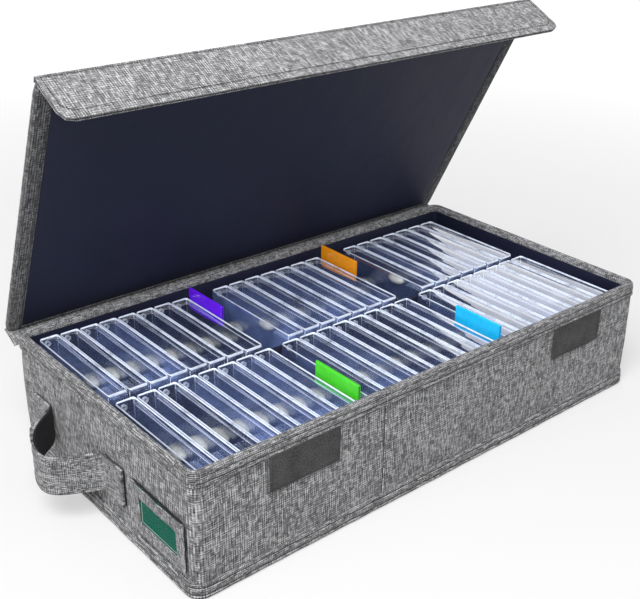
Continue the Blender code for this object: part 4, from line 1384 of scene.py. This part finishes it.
def stitchPiece(name, body, lines, place=None):
    # lines are lists of points; a closed one repeats its first point at the end
    mesh = bpy.data.meshes.new(name)
    points, edges = [], []
    for line in lines:
        start = len(points)
        points += [tuple(place(np.array(p)) if place else p) for p in line]
        edges += [(start + i, start + i + 1) for i in range(len(line) - 1)]
    mesh.from_pydata(points, edges, [])
    values = {"Pitch": stitch["pitch"], "Length": stitch["length"], "Thread": stitch["thread"]}
    piece = runTree(name, mesh, stitchRow, stitchIds, values)
    boxWeave(piece)
    piece.data.shade_smooth()
    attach(piece, body)
    return piece


def ringLine(path, out, z, push, whole=True):
    # a row round the tray; one that isn't whole leaves out the back wall
    line = []
    for x, y, nx, ny, s in path:
        if ny > 0.3 and not whole:
            return line
        o = out + push((x, y, z), out, z, s)
        line.append((x + nx * o, y + ny * o, z))
    return line + line[:1]


trayLines = [
    ringLine(outerPath, 0.0001, rimLo[2] + 0.0029, rimPush, False),
    ringLine(outerPath, -0.0002, rimLo[2] + 0.0076, rimPush, False),
    ringLine(outerPath, 0.0013, weltLo[2] + 0.0033, weltPush),
    ringLine(outerPath, 0.0013, weltLo[2] + 0.0089, weltPush),
]
stitchPiece("tray_stitches", "tray", trayLines)
for side in ("left", "right"):
    lo, hi = boxOf("loop_patch_" + side)
    edge = 0.0022
    x0, x1, z0, z1 = lo[0] + edge, hi[0] - edge, lo[2] + edge, hi[2] - edge
    patchLine = [(x, lo[1], z) for x, z in ((x0, z0), (x1, z0), (x1, z1), (x0, z1), (x0, z0))]
    stitchPiece(f"loop_tape_{side}_stitches", "tray", [patchLine])
low, deep, corner = flapLo[2] + 0.0065, 0.004, 0.006
halfLine = [(deep, flapHi[2] - 0.002), (deep, low + corner), (deep + corner, low)]
flapLine = [(flapLo[0] + x, faceY - 0.0001, z) for x, z in halfLine]
flapLine += [(flapHi[0] - x, faceY - 0.0001, z) for x, z in halfLine[::-1]]
stitchPiece("flap_stitches", "flap", [flapLine], lidPoint)


def shadeCordPiece(name, a, b, count, swing, seed, radius):
    # a dark cord from a to b that wanders a little, as a hand-fed seam does: painted shade laid in a slit, a
    # gap or a seam's groove
    a, b = np.array(a), np.array(b)
    points = []
    for i in range(count + 1):
        p = a + (b - a) * i / count
        wander = np.array([0.0, smoothNoise(p, 0.006, seed), smoothNoise(p, 0.006, seed + 3.0)]) * swing
        points.append(Vector(tuple(p + wander)))
    rings = []
    for i, point in enumerate(points):
        run = (points[min(i + 1, count)] - points[max(i - 1, 0)]).normalized()
        side = run.cross(Vector((0.31, 0.27, 0.91))).normalized()
        rise = side.cross(run)
        size = radius * (0.5 if i in (0, count) else 1.0)
        turns = roundTurns(6)
        rings.append([point + (side * math.cos(turn) + rise * math.sin(turn)) * size for turn in turns])
    cord = builtPiece(name, lambda work: joinRings(work, rings, True))
    boxWeave(cord)
    cord.data.shade_smooth()
    finishPiece(cord, "tray", webbing)


slitX, slitZ = pocketHi[0] - 0.0010, pocketHi[2] + 0.0001
sideY = pocketLo[1] - 0.0003
slit = (slitX, pocketLo[1] + 0.002, slitZ), (slitX, pocketHi[1] - 0.001, slitZ)
pocketSide = (slitX, sideY, pocketLo[2] + 0.002), (slitX, sideY, pocketHi[2] - 0.001)
seamY = -halfY + 0.0001
wallSeam = (tray["seamX"], seamY, weltHi[2] + 0.0005), (tray["seamX"], seamY, rimLo[2] - 0.0005)
# dark cords as painted shade: in the pocket's open top, in the gap at its front edge, and in the wall seam's
# groove
shadeCordPiece("pocket_slit_thread", *slit, 24, 0.0006, 2.0, 0.00065)
shadeCordPiece("pocket_side_thread", *pocketSide, 16, 0.0004, 5.0, 0.00050)
shadeCordPiece("wall_seam_thread", *wallSeam, 40, 0.0002, 9.0, 0.00042)
bindIn, under = lid["binding"] - 0.0018, lidLo[2] - 0.0001
lidLine = [
    (lidLo[0] + bindIn, lidHi[1] - 0.004, under),
    (lidLo[0] + bindIn, lidLo[1] + bindIn, under),
    (lidHi[0] - bindIn, lidLo[1] + bindIn, under),
    (lidHi[0] - bindIn, lidHi[1] - 0.004, under),
]
stitchPiece("lid_stitches", "lid", [lidLine], lidPoint)
print("stitches made")

# camera, floor, light
studio = {
    "world": 0.46,
    "key": 58.0,
    "side": 5.0,
    "floorGlow": 0.39,  # near the box
    "farGlow": 0.78,
    "glowSpan": (0.3, 1.8),  # from how far out to how far out the glow grows
    "floorSize": 6.0,
}
view = {
    "focal": 1040.9,  # in pixels of a 640-wide picture
    "azimuth": 0.69904,
    "elevation": 0.45057,
    "roll": 0.01360,
    "place": (-0.50892, -0.57466, 0.47517),
}


def makeCamera():
    az, el, roll = view["azimuth"], view["elevation"], view["roll"]
    back = Vector((-math.sin(az) * math.cos(el), -math.cos(az) * math.cos(el), math.sin(el)))
    right = (-back).cross(Vector((0, 0, 1))).normalized()
    up = right.cross(-back)
    r = math.cos(roll) * right + math.sin(roll) * up
    u = -math.sin(roll) * right + math.cos(roll) * up
    data = bpy.data.cameras.new("photo_camera")
    data.sensor_fit = "HORIZONTAL"
    data.sensor_width = 36.0
    data.lens = view["focal"] * data.sensor_width / 640.0
    data.clip_start = 0.01
    camera = newPiece("photo_camera", data)
    camera.matrix_world = Matrix.Translation(view["place"]) @ Matrix((r, u, back)).transposed().to_4x4()
    scene.camera = camera


def seenDirectly(tree):
    # 1 for what the camera sees by itself, in a mirror or through glass
    path = node(tree, "ShaderNodeLightPath").outputs
    either = mathNode(tree, "MAXIMUM", path["Is Camera Ray"], path["Is Glossy Ray"])
    return mathNode(tree, "MAXIMUM", either, path["Is Transmission Ray"])


def makeFloor():
    size = studio["floorSize"]
    mesh = bpy.data.meshes.new("floor")
    corners = [(-size, -size, 0), (size, -size, 0), (size, size, 0), (-size, size, 0)]
    mesh.from_pydata(corners, [], [(0, 1, 2, 3)])
    floor = newPiece("floor", mesh)
    floor.location.z = -0.0002
    material, tree, shader = newMaterial("paleFloor")
    feed(tree, shader, {"Base Color": (0.42, 0.42, 0.42, 1.0), "Roughness": 0.9, "Specular IOR Level": 0.1})
    away = node(tree, "ShaderNodeVectorMath", {0: ownCoords(tree)}, operation="LENGTH").outputs["Value"]
    near, out = studio["glowSpan"]
    span = {"Value": away, "From Min": near, "From Max": out}
    span |= {"To Min": studio["floorGlow"], "To Max": studio["farGlow"]}
    far = node(tree, "ShaderNodeMapRange", span, interpolation_type="SMOOTHSTEP").outputs[0]
    strength = times(tree, seenDirectly(tree), far)
    glow = node(tree, "ShaderNodeEmission", {"Color": (1.0, 1.0, 1.0, 1.0), "Strength": strength})
    both = node(tree, "ShaderNodeAddShader", {0: shader.outputs[0], 1: glow.outputs[0]})
    feed(tree, tree.nodes["Material Output"], {"Surface": both.outputs[0]})
    mesh.materials.append(material)


def makeWorld():
    world = bpy.data.worlds.new("studio")
    world.use_nodes = True
    scene.world = world
    tree = world.node_tree
    strength = plus(tree, times(tree, seenDirectly(tree), 1.0 - studio["world"]), studio["world"])
    feed(tree, tree.nodes["Background"], {"Color": (1.0, 1.0, 1.0, 1.0), "Strength": strength})


def areaLight(name, place, target, size, power):
    data = bpy.data.lights.new(name, "AREA")
    data.shape = "RECTANGLE"
    data.size, data.size_y = size
    data.energy = power
    lamp = newPiece(name, data)
    lamp.location = place
    lamp.rotation_euler = (Vector(target) - Vector(place)).to_track_quat("-Z", "Y").to_euler()


makeCamera()
makeFloor()
makeWorld()
areaLight("key_light", (-1.10, -0.80, 1.72), (0, 0, 0.08), (1.4, 1.4), studio["key"])
areaLight("side_light", (1.9, -0.9, 1.1), (0, 0, 0.1), (1.2, 1.2), studio["side"])
scene.view_settings.view_transform = "Standard"
print("studio made")
